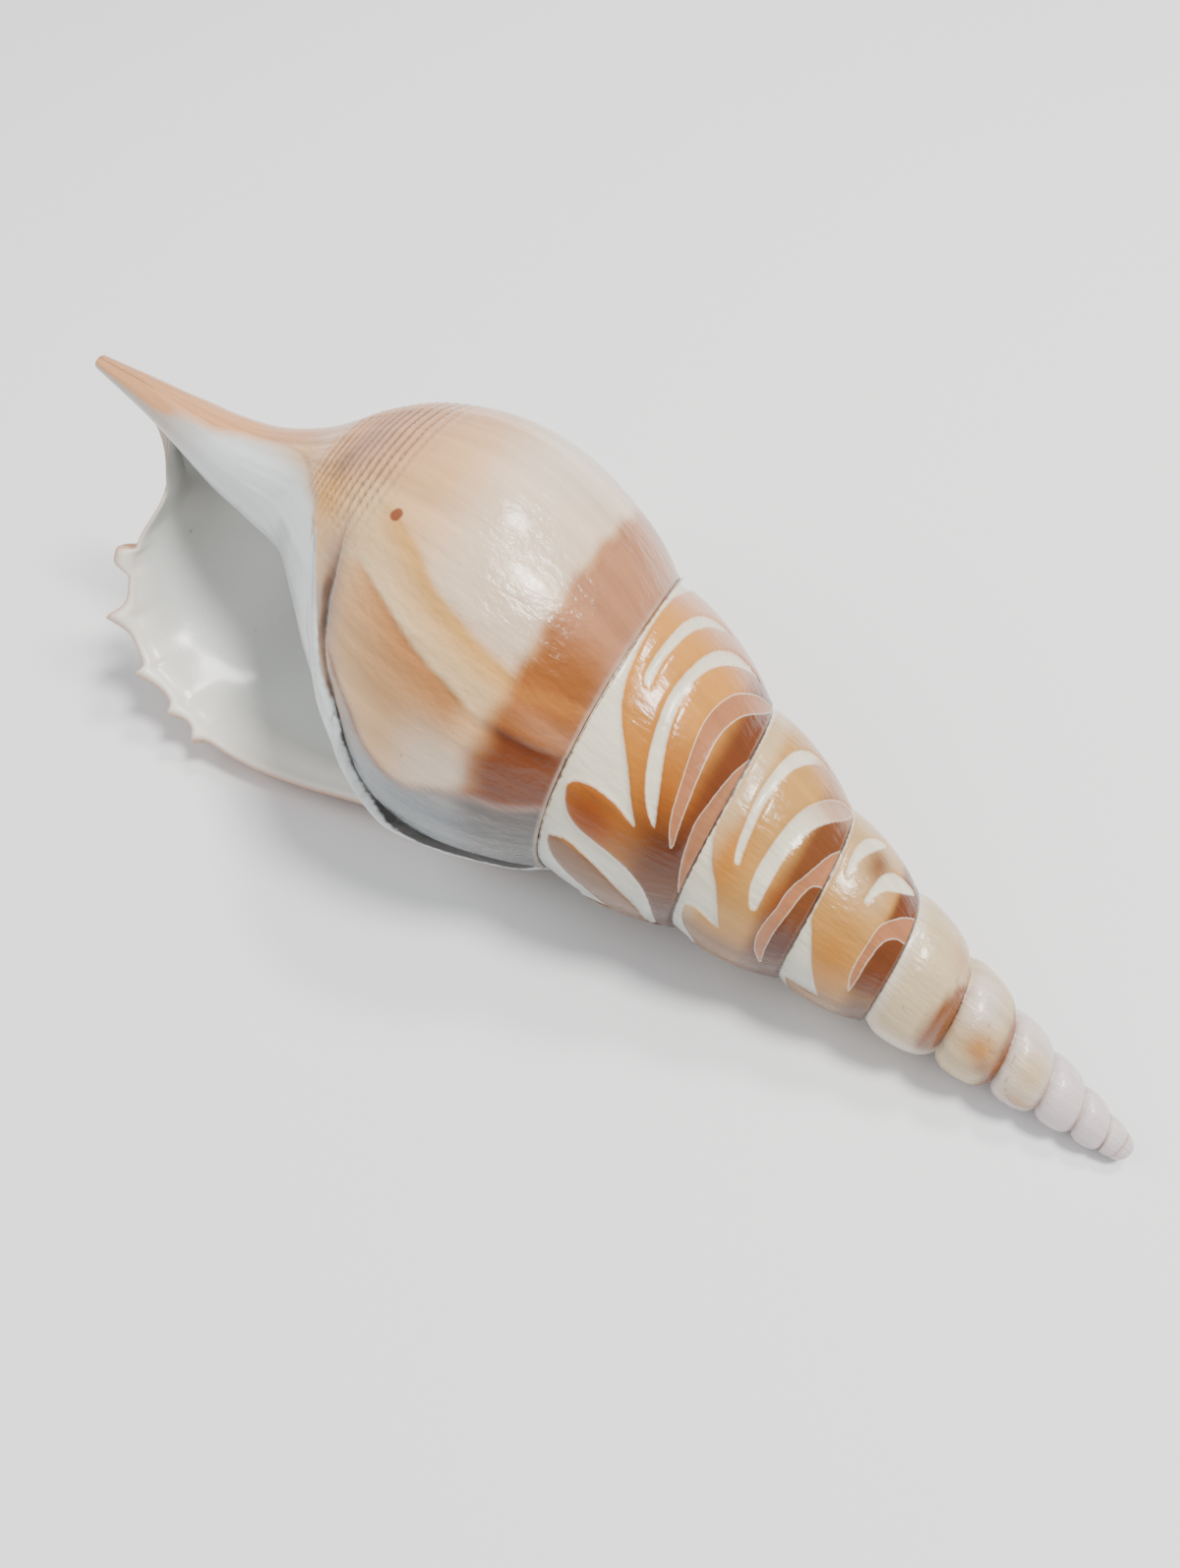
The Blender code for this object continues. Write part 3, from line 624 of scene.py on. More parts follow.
@dataclass
class Markings:
    """Colours and depths over the surface, worked out from the angle and the place of each point."""

    form: ShellForm
    palette: Palette = field(default_factory=Palette)
    rim_width: float = 0.9
    cut_depth: float = 0.34
    thin_depth: float = 0.16
    groove_depth: float = 0.24

    def plain(self, name: str, count: int) -> Array:
        """So many points of one named colour."""
        return np.tile(linear(getattr(self.palette, name)), (count, 1))

    def layers(self, tone: Array, *layers: tuple[str, Array]) -> Array:
        """Lay named colours over a tone, one after the other.

        Args:
            tone: Colours so far.
            layers: The name of each colour in the palette, and how much of it at each point, from 0 to 1.

        Returns:
            The mixed colours.
        """
        for name, weight in layers:
            weight = np.clip(weight, 0, 1)[:, None]
            tone = tone * (1 - weight) + linear(getattr(self.palette, name)) * weight
        return tone

    def whorl_number(self, angle: Array) -> Array:
        """Number of the whorl, 1 for the first one over the last whorl."""
        return -np.floor((angle + 90) / 360).astype(int)

    @staticmethod
    def motif_angle(angle: Array) -> Array:
        """Angle within the carved motif, from -90 to 90, mirrored on the side that can't be seen."""
        turned = (angle + 90) % 360
        return np.where(turned < 180, turned - 90, 270 - turned)

    def spire_shapes(self, angle: Array, part: Array) -> tuple[Array, Array, Array]:
        """Depth inside the white and the half-cut shapes of the spire, and distance to an engraved line.

        Args:
            angle: Angles in degrees.
            part: Places from 0 to 1.

        Returns:
            Three arrays in millimetres.
        """
        number = self.whorl_number(angle)
        cut = np.full(angle.shape, -2.0)
        thin = np.full(angle.shape, -2.0)
        line = np.full(angle.shape, 2.0)
        for whorl in range(1, 7):
            here = number == whorl
            if not here.any():
                continue
            local = self.motif_angle(angle[here])
            centre = np.radians(-360.0 * whorl)
            upper, lower = self.form.suture(np.array([centre, centre + TURN]))
            height = float(np.hypot(*(lower - upper)[:2])) + 0 * local
            degree = np.radians(0.5 * (upper[1] + lower[1])) + 0 * local
            if whorl <= len(CARVINGS):
                carving = CARVINGS[whorl - 1]
                cut[here] = carving.field(local, part[here], degree, height, False)
                thin[here] = carving.field(local, part[here], degree, height, True)
            scale = np.array([degree[0], height[0]])
            for points in ENGRAVED.get(whorl, ()):
                gap = along_line(local * degree, part[here] * height, rounded(list(points)) * scale)[0]
                line[here] = np.minimum(line[here], gap)
        return cut, thin, line

    def cut_tone(self, angle: Array, part: Array, cut: Array, thin: Array) -> Array:
        """Colours of the layers that the carving opens: white in the deep cuts, with painted shade and a
        painted cool reflection towards one side, pink in the shallow ones.

        Args:
            angle: Angles in degrees.
            part: Places from 0 to 1.
            cut: Depth inside the white shapes, in millimetres.
            thin: Depth inside the half-cut shapes, in millimetres.

        Returns:
            Linear colours.
        """
        number = self.whorl_number(angle)
        near = self.motif_angle(angle)
        shallow = thin > cut
        return self.layers(
            self.plain("white", len(angle)),
            # Painted shade and painted cool reflection on the white cuts, stronger towards one side of the
            # motif.
            ("white_painted_shade", ramp(near, -20, -80) * 0.8),
            ("pink", (number == 2) * ramp(near, 20, 50) * ramp(part, 0.6, 0.4) * 0.8),
            ("pink", shallow * 1.0),
            ("grey_strip", shallow * (number == 1) * ramp(part, 0.15, 0.1) * ramp(near, 34, 28)))

    def spire_tone(self, angle: Array, part: Array) -> Array:
        """Colours of the uncut layer of the spire.

        Args:
            angle: Angles in degrees.
            part: Places from 0 to 1.

        Returns:
            Linear colours.
        """
        number = self.whorl_number(angle)
        near = self.motif_angle(angle)
        at = partial(spot, near, part)
        leaf = np.interp(near, (-92, -80, -66, -58, -52, -48), (0.13, 0.17, 0.23, 0.33, 0.46, 0.58))
        patch = np.interp(near, (-70, -40, -10, 20, 36), (0.3, 0.36, 0.34, 0.2, 0.0))
        whorls = (
            (number <= 1, (
                ("gold", at((0, 0.62), (22, 0.5))),
                ("pink_tan", ramp(near, 42, 62) * 0.85),
                ("band_pink", at((66, 0.3), (16, 0.28)) * 0.9),
                ("brown_red", ramp(part, 0.34, 0.14) * ramp(near, -70, 0) * 0.95),
                ("leaf_orange", at((-30, 0.74), (16, 0.35))),
                ("leaf_orange", at((-10, 0.36), (18, 0.2)) * 0.7),
                ("dark", ramp(near, 0, -26) * ramp(part, 0.6, 0.26) * 0.85),
                ("violet", ramp(near, -40, -64) * ramp(part, 0.45, 0.2) * 0.7),
                ("grey_leaf", ramp(near, -44, -47) * ramp(part - leaf, -0.08, -0.03)))),
            (number == 2, (
                ("light_tan", 1.0),
                ("cream", ramp(part, 0.78, 0.9) * 0.7),
                ("gold", at((-12, 0.8), (18, 0.16)) * 0.9),
                ("brown_red", ramp(part, 0.42, 0.26) * ramp(near, 70, 40) * 0.9),
                ("leaf_orange", at((-16, 0.34), (16, 0.08)) * 0.6),
                ("band_pink", at((66, 0.3), (14, 0.3)) * 0.9),
                ("grey_leaf", ramp(near, -44, -60) * 0.85),
                ("dark", ramp(near, -14, -40) * ramp(part, 0.4, 0.14) * 0.8))),
            (number == 3, (
                ("light_tan", 1.0),
                ("cream", ramp(near, 0, 24) * ramp(part, 0.3, 0.5) * 0.4),
                ("brown_red", at((42, 0.62), (14, 0.15)) * 0.8),
                ("gold", at((-26, 0.62), (26, 0.3)) * 0.8),
                ("brown_red", ramp(part, 0.36, 0.26) * ramp(near, -50, -30) * 0.95),
                ("grey_leaf", ramp(near, -46, -62) * 0.7),
                ("dark", ramp(near, -26, -50) * ramp(part, 0.4, 0.14) * 0.8))),
            (number == 4, (
                ("cream", 1.0),
                ("pale", ramp(part, 0.8, 1.0) * 0.8),
                ("patch", ramp(part - patch, 0.05, -0.07) * ramp(near, 40, 26)),
                ("pale", ramp(near, -50, -74) * 0.8),
                ("band_pink", at((44, 0.22), (14, 0.2)) * 0.6))),
            (number == 5, (
                ("cream", 1.0),
                ("pinkish", at((30, 0.75), (34, 0.3)) * 0.8),
                ("gold", at((-16, 0.5), (20, 0.3)) * 0.85),
                ("patch", at((-34, 0.3), (12, 0.16)) * 0.7),
                ("patch", ramp(part, 0.3, 0.12) * ramp(near, 70, 50)),
                ("orange", at((-26, 0.16), (8, 0.08)) * 0.8))),
            (number >= 6, (
                ("pinkish", 1.0),
                ("cream", (number == 6) * at((-4, 0.5), (44, 0.5))),
                ("light_tan", (number == 6) * at((-52, 0.4), (14, 0.4)) * 0.8),
                ("band_tan", ramp(part, 0.14, 0.0) * 0.4))))
        tone = self.plain("tan", len(angle))
        for here, layers in whorls:
            tone = self.layers(tone, *((name, here * weight) for name, weight in layers))
        return tone

    def whorl_lines(self, angle: Array, place: Array) -> Lines:
        """Distance, side and share along each drawn line of the last whorl.

        Args:
            angle: Angles in degrees.
            place: Places from 0 to 13.

        Returns:
            A tuple of three arrays for each line's name, with distances in millimetres.
        """
        scale = np.array([DEGREE_MM, PLACE_MM])
        u, v = angle * scale[0], place * scale[1]
        return {name: along_line(u, v, rounded(list(line)) * scale) for name, line in DRAWN_LINES.items()}

    def whorl_tone(self, angle: Array, place: Array, lines: Lines) -> Array:
        """Colours of the last whorl.

        Args:
            angle: Angles in degrees.
            place: Places from 0 to 13.
            lines: What whorl_lines gave for the same points.

        Returns:
            Linear colours.
        """
        at = partial(spot, angle, place)
        flame, flame_side, flame_share = lines["flame"]
        streak, streak_side, streak_share = lines["streak"]
        scar, scar_side, _ = lines["scar"]
        brown, brown_side, _ = lines["brown_scar"]
        glaze, glaze_side, _ = lines["glaze"]
        crease = lines["crease"][0]
        past = ramp(-flame * flame_side, -0.4, 0.8)
        before = ramp(streak * streak_side, -0.3, 0.3)
        white = ramp(place, 1.36, 1.55) * (1 - ramp(place, 2.7, 3.9)) * ramp(angle, -12, 0)
        between = ramp(place, 1.4, 1.6) * (1 - past) * (1 - before) * (1 - ramp(place, 4.0, 5.0))
        gold = bell(flame, np.where(flame_side > 0, 2.4, 0.45)) * ramp(flame_share, 0.0, 0.2)
        left = before * ramp(angle, -70, -40) * ramp(place, 1.5, 2.1) * (1 - ramp(place, 3.9, 4.7))
        left = left * (1 - 0.6 * ramp(place, 3.0, 4.2))
        reach = ramp(streak_share, 0.12, 0.4) * (1 - ramp(streak_share, 0.86, 1.0))
        ridge = bell(streak * streak_side + 0.25, 0.35) * (1 - ramp(streak_share, 0.8, 1.0))
        low = ramp(angle, -24, -40) * ramp(place, 1.4, 1.55) * (1 - ramp(place, 2.0, 2.9))
        soft = 0.12 + 0.16 * ramp(angle, -14, -24)
        band = 1 - ramp(place + 0.04 * np.sin(angle / 2.3), 1.4 - soft, 1.44 + soft)
        front = 1 - ramp(angle, 62, 96)
        under = ramp(glaze * glaze_side, -0.15, 0.2) * ramp(angle, -34, -38) * (1 - ramp(place, 3.5, 3.9))
        tone = self.layers(
            self.plain("cream_tan", len(angle)),
            ("pink_tan", at((44, 5.4), (36, 1.4)) * 0.85),
            ("pink_tan", at((66, 3.9), (14, 1.2)) * 0.6),
            ("pale", at((58, 2.6), (24, 1.0)) * 0.5),
            ("butter", at((2, 4.6), (12, 0.8)) * 0.5),
            ("pale", white * past * (1 - ramp(angle, 60, 90)) * 0.5),
            ("butter", between * ramp(angle, -40, -24) * 0.9),
            ("golden", gold * ramp(place, 1.36, 1.5)),
            ("band_tan", left * bell(streak, 6.0) * 0.6),
            ("orange", before * bell(streak, 2.6) * reach * 0.5),
            ("dark", before * bell(streak, 0.45) * reach * 0.5),
            ("cream", ridge * 0.7),
            ("pale", low * 0.6),
            ("band_tan", band * front),
            ("band_pink", band * ramp(angle, 4, 22) * front),
            ("orange", band * bell(scar, np.where(scar_side > 0, 1.5, 0.3))),
            ("band_pink", band * at((-14, 0.5), (4, 0.8)) * 0.8),
            ("band_red", band * ramp(angle, -18, -21)),
            ("dark", bell(brown, np.where(brown_side > 0, 0.9, 0.3)) * 0.4 * band),
            ("lilac", band * ramp(place, 0.5, 0.0) * ramp(angle, -60, 30) * 0.4),
            # Below the glaze line: the glaze's own grey mixed with painted shade and a painted blue
            # reflection, stronger towards the slit; the band under it is greyed the same way.
            ("glaze", under * (0.7 + 0.3 * ramp(angle, -44, -60))),
            ("band_grey_and_shade", under * band * 0.6),
            ("lilac", bell(glaze, 0.5) * ramp(angle, -34, -38) * 0.8),
            ("strip_gold", at((2, 5.5), (13, 0.45))),
            ("crease", ramp(-self.cords(angle, place), 0.0, 0.7) * 0.7),
            ("crease", at((17, 5.6), (8, 0.2)) * 0.5),
            ("lilac", at((30, 5.4), (22, 0.5)) * 0.5),
            ("lilac", bell(crease, 2.0) * 0.75 * ramp(angle, 4, -14)),
            ("crease", bell(crease, 0.6) * 0.6 * ramp(angle, 4, -18)),
            ("crease", at((-22, 4.62), (5, 0.1)) * 0.65),
            ("crease", at((-30, 4.45), (7, 0.12)) * 0.65),
            ("crease", at((-46, 3.95), (7, 0.12)) * 0.65),
            # Glaze colour beside the slit: partly painted shade.
            ("glaze", bell(lines["slit"][0], 3.0) * 0.5 * ramp(angle, -48, -60)))
        tone = self.canal_tone(self.back_tone(tone, angle, place), angle, place)
        soft = 1.0 + 12 * ramp(place, 5.0, 6.2) + 18 * ramp(place, 6.0, 7.4)
        inside = ramp(self.form.glaze_edge(place) - angle, 0, soft)
        rim = 1 - ramp(place * SUTURE_MM, 0.45, self.rim_width)
        behind = self.lip_behind(angle)
        return self.layers(
            tone,
            ("callus", inside * (1 - ramp(place, 8.6, 10.8))),
            ("pale", rim * 0.3 * (1 - ramp(angle, 100, 160))),
            ("lip_out", (1 - ramp(behind, 4, 22)) * ramp(place, 0.5, 1.5) * 0.9),
            ("knob", spot(behind, place, (0, 9.52), (3.5, 0.35)) * 0.9))

    def slit_distance(self, angle: Array, place: Array, lines: Lines) -> Array:
        """Distance in millimetres to the dirty slit beside the callus, which opens out at its lower end.

        Args:
            angle: Angles in degrees.
            place: Places from 0 to 13.
            lines: What whorl_lines gave for the same points.

        Returns:
            Distances, less than 0 in the middle of the slit where it is open.
        """
        edge = np.abs(angle - self.form.callus_edge(place) - 0.3) * 0.42
        opened = 0.2 + 0.85 * ramp(place, 3.4, 2.2) * ramp(place, 0.1, 0.7)
        beside = edge - opened + 3 * ramp(place, 3.7, 4.3) + 3 * ramp(place, 0.4, 0.1)
        crease = lines["crease"][0] + 0.28 + 2 * ramp(angle, -22, 0)
        return np.minimum(beside, crease)

    def lip_behind(self, angle: Array) -> Array:
        """Degrees from the lip back to a point of the last whorl."""
        return np.degrees(self.form.lip) - angle

    def back_tone(self, tone: Array, angle: Array, place: Array) -> Array:
        """Streaks and bands of the side that the photograph doesn't show.

        Args:
            tone: Colours so far.
            angle: Angles in degrees.
            place: Places from 0 to 13.

        Returns:
            The colours with the streaks laid over.
        """
        back = ramp(angle, 82, 110) * (1 - ramp(place, 7.0, 9.0))
        tone = self.layers(
            tone,
            ("band_tan", back * (1 - ramp(place, 1.3, 1.7)) * 0.8),
            ("pale", back * ramp(place, 1.4, 1.9) * (1 - ramp(place, 2.6, 4.2)) * 0.5))
        for centre, width, lean in ((118, 5, 6), (161, 4, -5), (206, 6, 7)):
            bend = centre + lean * np.sin(place * 0.9)
            streak = bell(angle - bend, width) * ramp(place, 1.2, 2.6) * (1 - ramp(place, 5.0, 7.5))
            tone = self.layers(tone, ("golden", back * streak * 0.75))
            edge = bell(angle - bend - width * 0.8, 1.2) * ramp(place, 1.2, 2.4)
            tone = self.layers(tone, ("orange", back * edge * (1 - ramp(place, 4.0, 6.0)) * 0.6))
        return tone

    def canal_tone(self, tone: Array, angle: Array, place: Array) -> Array:
        """Colours of the canal: peach on its upper side, greyish white below.

        Args:
            tone: Colours so far.
            angle: Angles in degrees.
            place: Places from 0 to 13.

        Returns:
            The colours with the canal's laid over.
        """
        canal = ramp(place, 6.6, 8.6)
        border = np.interp(place, (7.0, 8.5, 9.3, 10.2, 11.3, 13.0), (34, 14, 0, -14, -30, -40))
        upper = ramp(angle - border, -9, 9)
        return self.layers(
            tone,
            ("pink_tan", ramp(place, 5.6, 6.8) * (1 - ramp(place, 8.0, 9.0)) * upper * 0.8),
            ("peach", canal * upper * ramp(place, 7.2, 8.8) * 0.95),
            ("under", canal * (1 - upper) * 0.9))

    def inside_tone(self, share: Array, place: Array) -> Array:
        """Colours of the hollow: white near the lip, with painted shade that turns it greyer further in and
        a lilac tint of painted shade away from the canal.

        Args:
            share: 0 at the lip and 1 where the hollow ends.
            place: Places from 0 to 13.

        Returns:
            Linear colours.
        """
        return self.layers(
            self.plain("inside", len(share)),
            ("edge", (1 - ramp(share, 0.0, 0.07)) * 0.7),
            ("lip_out", ramp(-share, 0.3, 0.75) * 0.9),
            # Painted shade: the hollow greys further in.
            ("inside_painted_shade", ramp(share, 0.25, 0.9) * 0.8),
            # Lilac painted shade in the hollow, away from the canal.
            ("lilac", ramp(share, 0.2, 0.6) * ramp(place, 9.5, 6.0) * 0.25))

    @staticmethod
    def cords(angle: Array, place: Array) -> Array:
        """Fine beaded spiral cords of the neck.

        Args:
            angle: Angles in degrees.
            place: Places from 0 to 13.

        Returns:
            Numbers from -1 in a groove to 1 on a cord, and 0 away from the neck.
        """
        where = ramp(place, 4.1, 4.9) * (1 - ramp(place, 6.0, 6.5))
        where = where * ramp(angle, -16, 14) * (1 - ramp(angle, 130, 180))
        wave = np.sin(TURN * place / 0.155 + 0.6 * np.sin(angle / 9))
        return where * wave * (0.75 + 0.25 * np.sin(angle * TURN / 3.1 + 2 * place))

    def whorl_height(self, angle: Array, place: Array, lines: Lines) -> Array:
        """Fine relief of the last whorl in millimetres, over the form of the solid.

        Args:
            angle: Angles in degrees.
            place: Places from 0 to 13.
            lines: What whorl_lines gave for the same points.

        Returns:
            Heights in millimetres.
        """
        near = place * SUTURE_MM
        visible = 1 - ramp(self.lip_behind(angle), 30, 12)
        height = -0.22 * bell(near, 0.2) + 0.1 * bell(near - 0.6, 0.4)
        height += 0.15 * self.cords(angle, place)
        height -= 0.3 * bell(lines["crease"][0], 0.45) * ramp(angle, 10, -10)
        height += 0.16 * bell(lines["growth"][0], 0.3)
        height -= 0.12 * bell(lines["brown_scar"][0], 0.3)
        gap, lean, share = lines["streak"]
        height += 0.12 * ramp(gap * lean, -0.3, 0.3) * bell(gap, 3) * np.sin(np.pi * share)
        gap, lean, _ = lines["glaze"]
        height += 0.12 * ramp(gap * lean, -0.25, 0.25) * bell(gap, 4) * ramp(angle, -30, -38)
        waves = np.sin(np.radians(angle) * 23 + place) + 0.6 * np.sin(np.radians(angle) * 41 + 1.3 * place)
        height += 0.02 * waves * (1 - ramp(place, 7, 9))
        ridge = bell(angle - np.interp(place, (9.4, 10.2, 11.0, 12.0), (4, 6, 9, 22)), 14)
        height += 0.2 * ridge * ramp(place, 8.6, 9.6) * (1 - ramp(place, 12.4, 13.0))
        return height * visible

    @staticmethod
    def smallness(size: Array) -> Array:
        """How much a whorl of this height has the pinched sutures of the small whorls."""
        return ramp(size, *SMALL_WHORLS) * np.minimum(size, 7) / 7

    def spire_height(self, part: Array, size: Array, cut: Array, thin: Array, line: Array) -> Array:
        """Relief of the spire: the cut shapes lie deeper, and each suture is a fine groove.

        Args:
            part: Places from 0 to 1.
            size: Millimetres from one suture to the next.
            cut: Depth inside the white shapes, in millimetres.
            thin: Depth inside the half-cut shapes, in millimetres.
            line: Distance to an engraved line, in millimetres.

        Returns:
            Heights in millimetres.
        """
        upper = part * size
        lower = (1 - part) * size
        share = np.clip(size / FULL_WHORL, 0.2, 1)
        height = -self.cut_depth * share * ramp(cut, -0.28, 0.22)
        height -= self.thin_depth * share * ramp(thin, -0.22, 0.2)
        height -= 0.12 * share * bell(line, 0.25)
        edges = ramp(upper, 0.0, 0.9 * share) * ramp(lower, 0.0, 0.5 * share)
        small = self.smallness(size)
        waist = 0.11 * size
        pinch = 0.62 * small * (bell(upper, waist) + 0.7 * bell(lower, waist))
        groove = -0.2 * share * (bell(upper, 0.2) + bell(lower, 0.3)) - pinch
        rim = 0.1 * share * bell(upper - 0.55 * share, 0.35 * share)
        return height * edges + groove + rim + 0.2 * small * (1 - (2 * part - 1) ** 2)


class SurfaceMesh:
    """Corners and faces of one closed surface, with the angle, the place and the zone of each corner."""

    def __init__(self) -> None:
        """Start with nothing."""
        self.points: list[Array] = []
        self.marks: list[Array] = []
        self.faces: list[Array] = []
        self.count = 0

    def add(self, points: Array, angle: Array, place: Array, zone: Zone) -> Array:
        """Add points.

        Args:
            points: Points in space.
            angle: Their angles in degrees.
            place: Their places.
            zone: The zone they belong to.

        Returns:
            Their numbers, in the same arrangement.
        """
        points = np.asarray(points, float)
        shape = points.shape[:-1]
        full = [np.broadcast_to(a, shape).ravel() for a in (angle, place, zone.value)]
        self.points.append(points.reshape(-1, 3))
        self.marks.append(np.stack(full, 1).astype(float))
        numbers = np.arange(self.count, self.count + int(np.prod(shape)))
        self.count += len(numbers)
        return numbers.reshape(shape)

    def sheet(self, grid: Array) -> None:
        """Fill a grid with triangles.

        Args:
            grid: Numbers of the points, by row and column.
        """
        a, b = grid[:-1, :-1].ravel(), grid[1:, :-1].ravel()
        c, d = grid[1:, 1:].ravel(), grid[:-1, 1:].ravel()
        self.faces.append(np.stack([a, b, c], 1))
        self.faces.append(np.stack([a, c, d], 1))

    def seam(self, one: Array, other: Array, one_places: Array, other_places: Array) -> None:
        """Join two lines of numbers.

        Args:
            one: Numbers along the first line.
            other: Numbers along the second line.
            one_places: Rising places along the first line, which say when to step on.
            other_places: The same for the second line.
        """
        i = j = 0
        found = []
        while i < len(one) - 1 or j < len(other) - 1:
            first_free = i < len(one) - 1
            second_free = j < len(other) - 1
            if first_free and (not second_free or one_places[i + 1] <= other_places[j + 1]):
                found.append((one[i], one[i + 1], other[j]))
                i += 1
            else:
                found.append((one[i], other[j + 1], other[j]))
                j += 1
        self.faces.append(np.array(found))

    def fan(self, centre: int, ring: Array) -> None:
        """Close a ring of numbers to one point."""
        self.faces.append(np.stack([np.full(len(ring), centre), ring, np.roll(ring, -1)], 1))

    def finished(self) -> tuple[Array, Array, Array]:
        """Drop unused points and collapsed faces.

        Returns:
            Points, marks and faces.
        """
        points, marks, faces = (np.vstack(part) for part in (self.points, self.marks, self.faces))
        whole = (faces[:, 0] != faces[:, 1]) & (faces[:, 1] != faces[:, 2]) & (faces[:, 0] != faces[:, 2])
        faces = faces[whole]
        used = np.unique(faces)
        renumber = np.zeros(len(points), int)
        renumber[used] = np.arange(len(used))
        return points[used], marks[used], renumber[faces]


def steps_between(*stretches: tuple[float, float, float]) -> Array:
    """Rising numbers made of stretches, each with its own first value, end and spacing."""
    return np.concatenate([np.arange(first, end - 1e-6, gap) for first, end, gap in stretches])


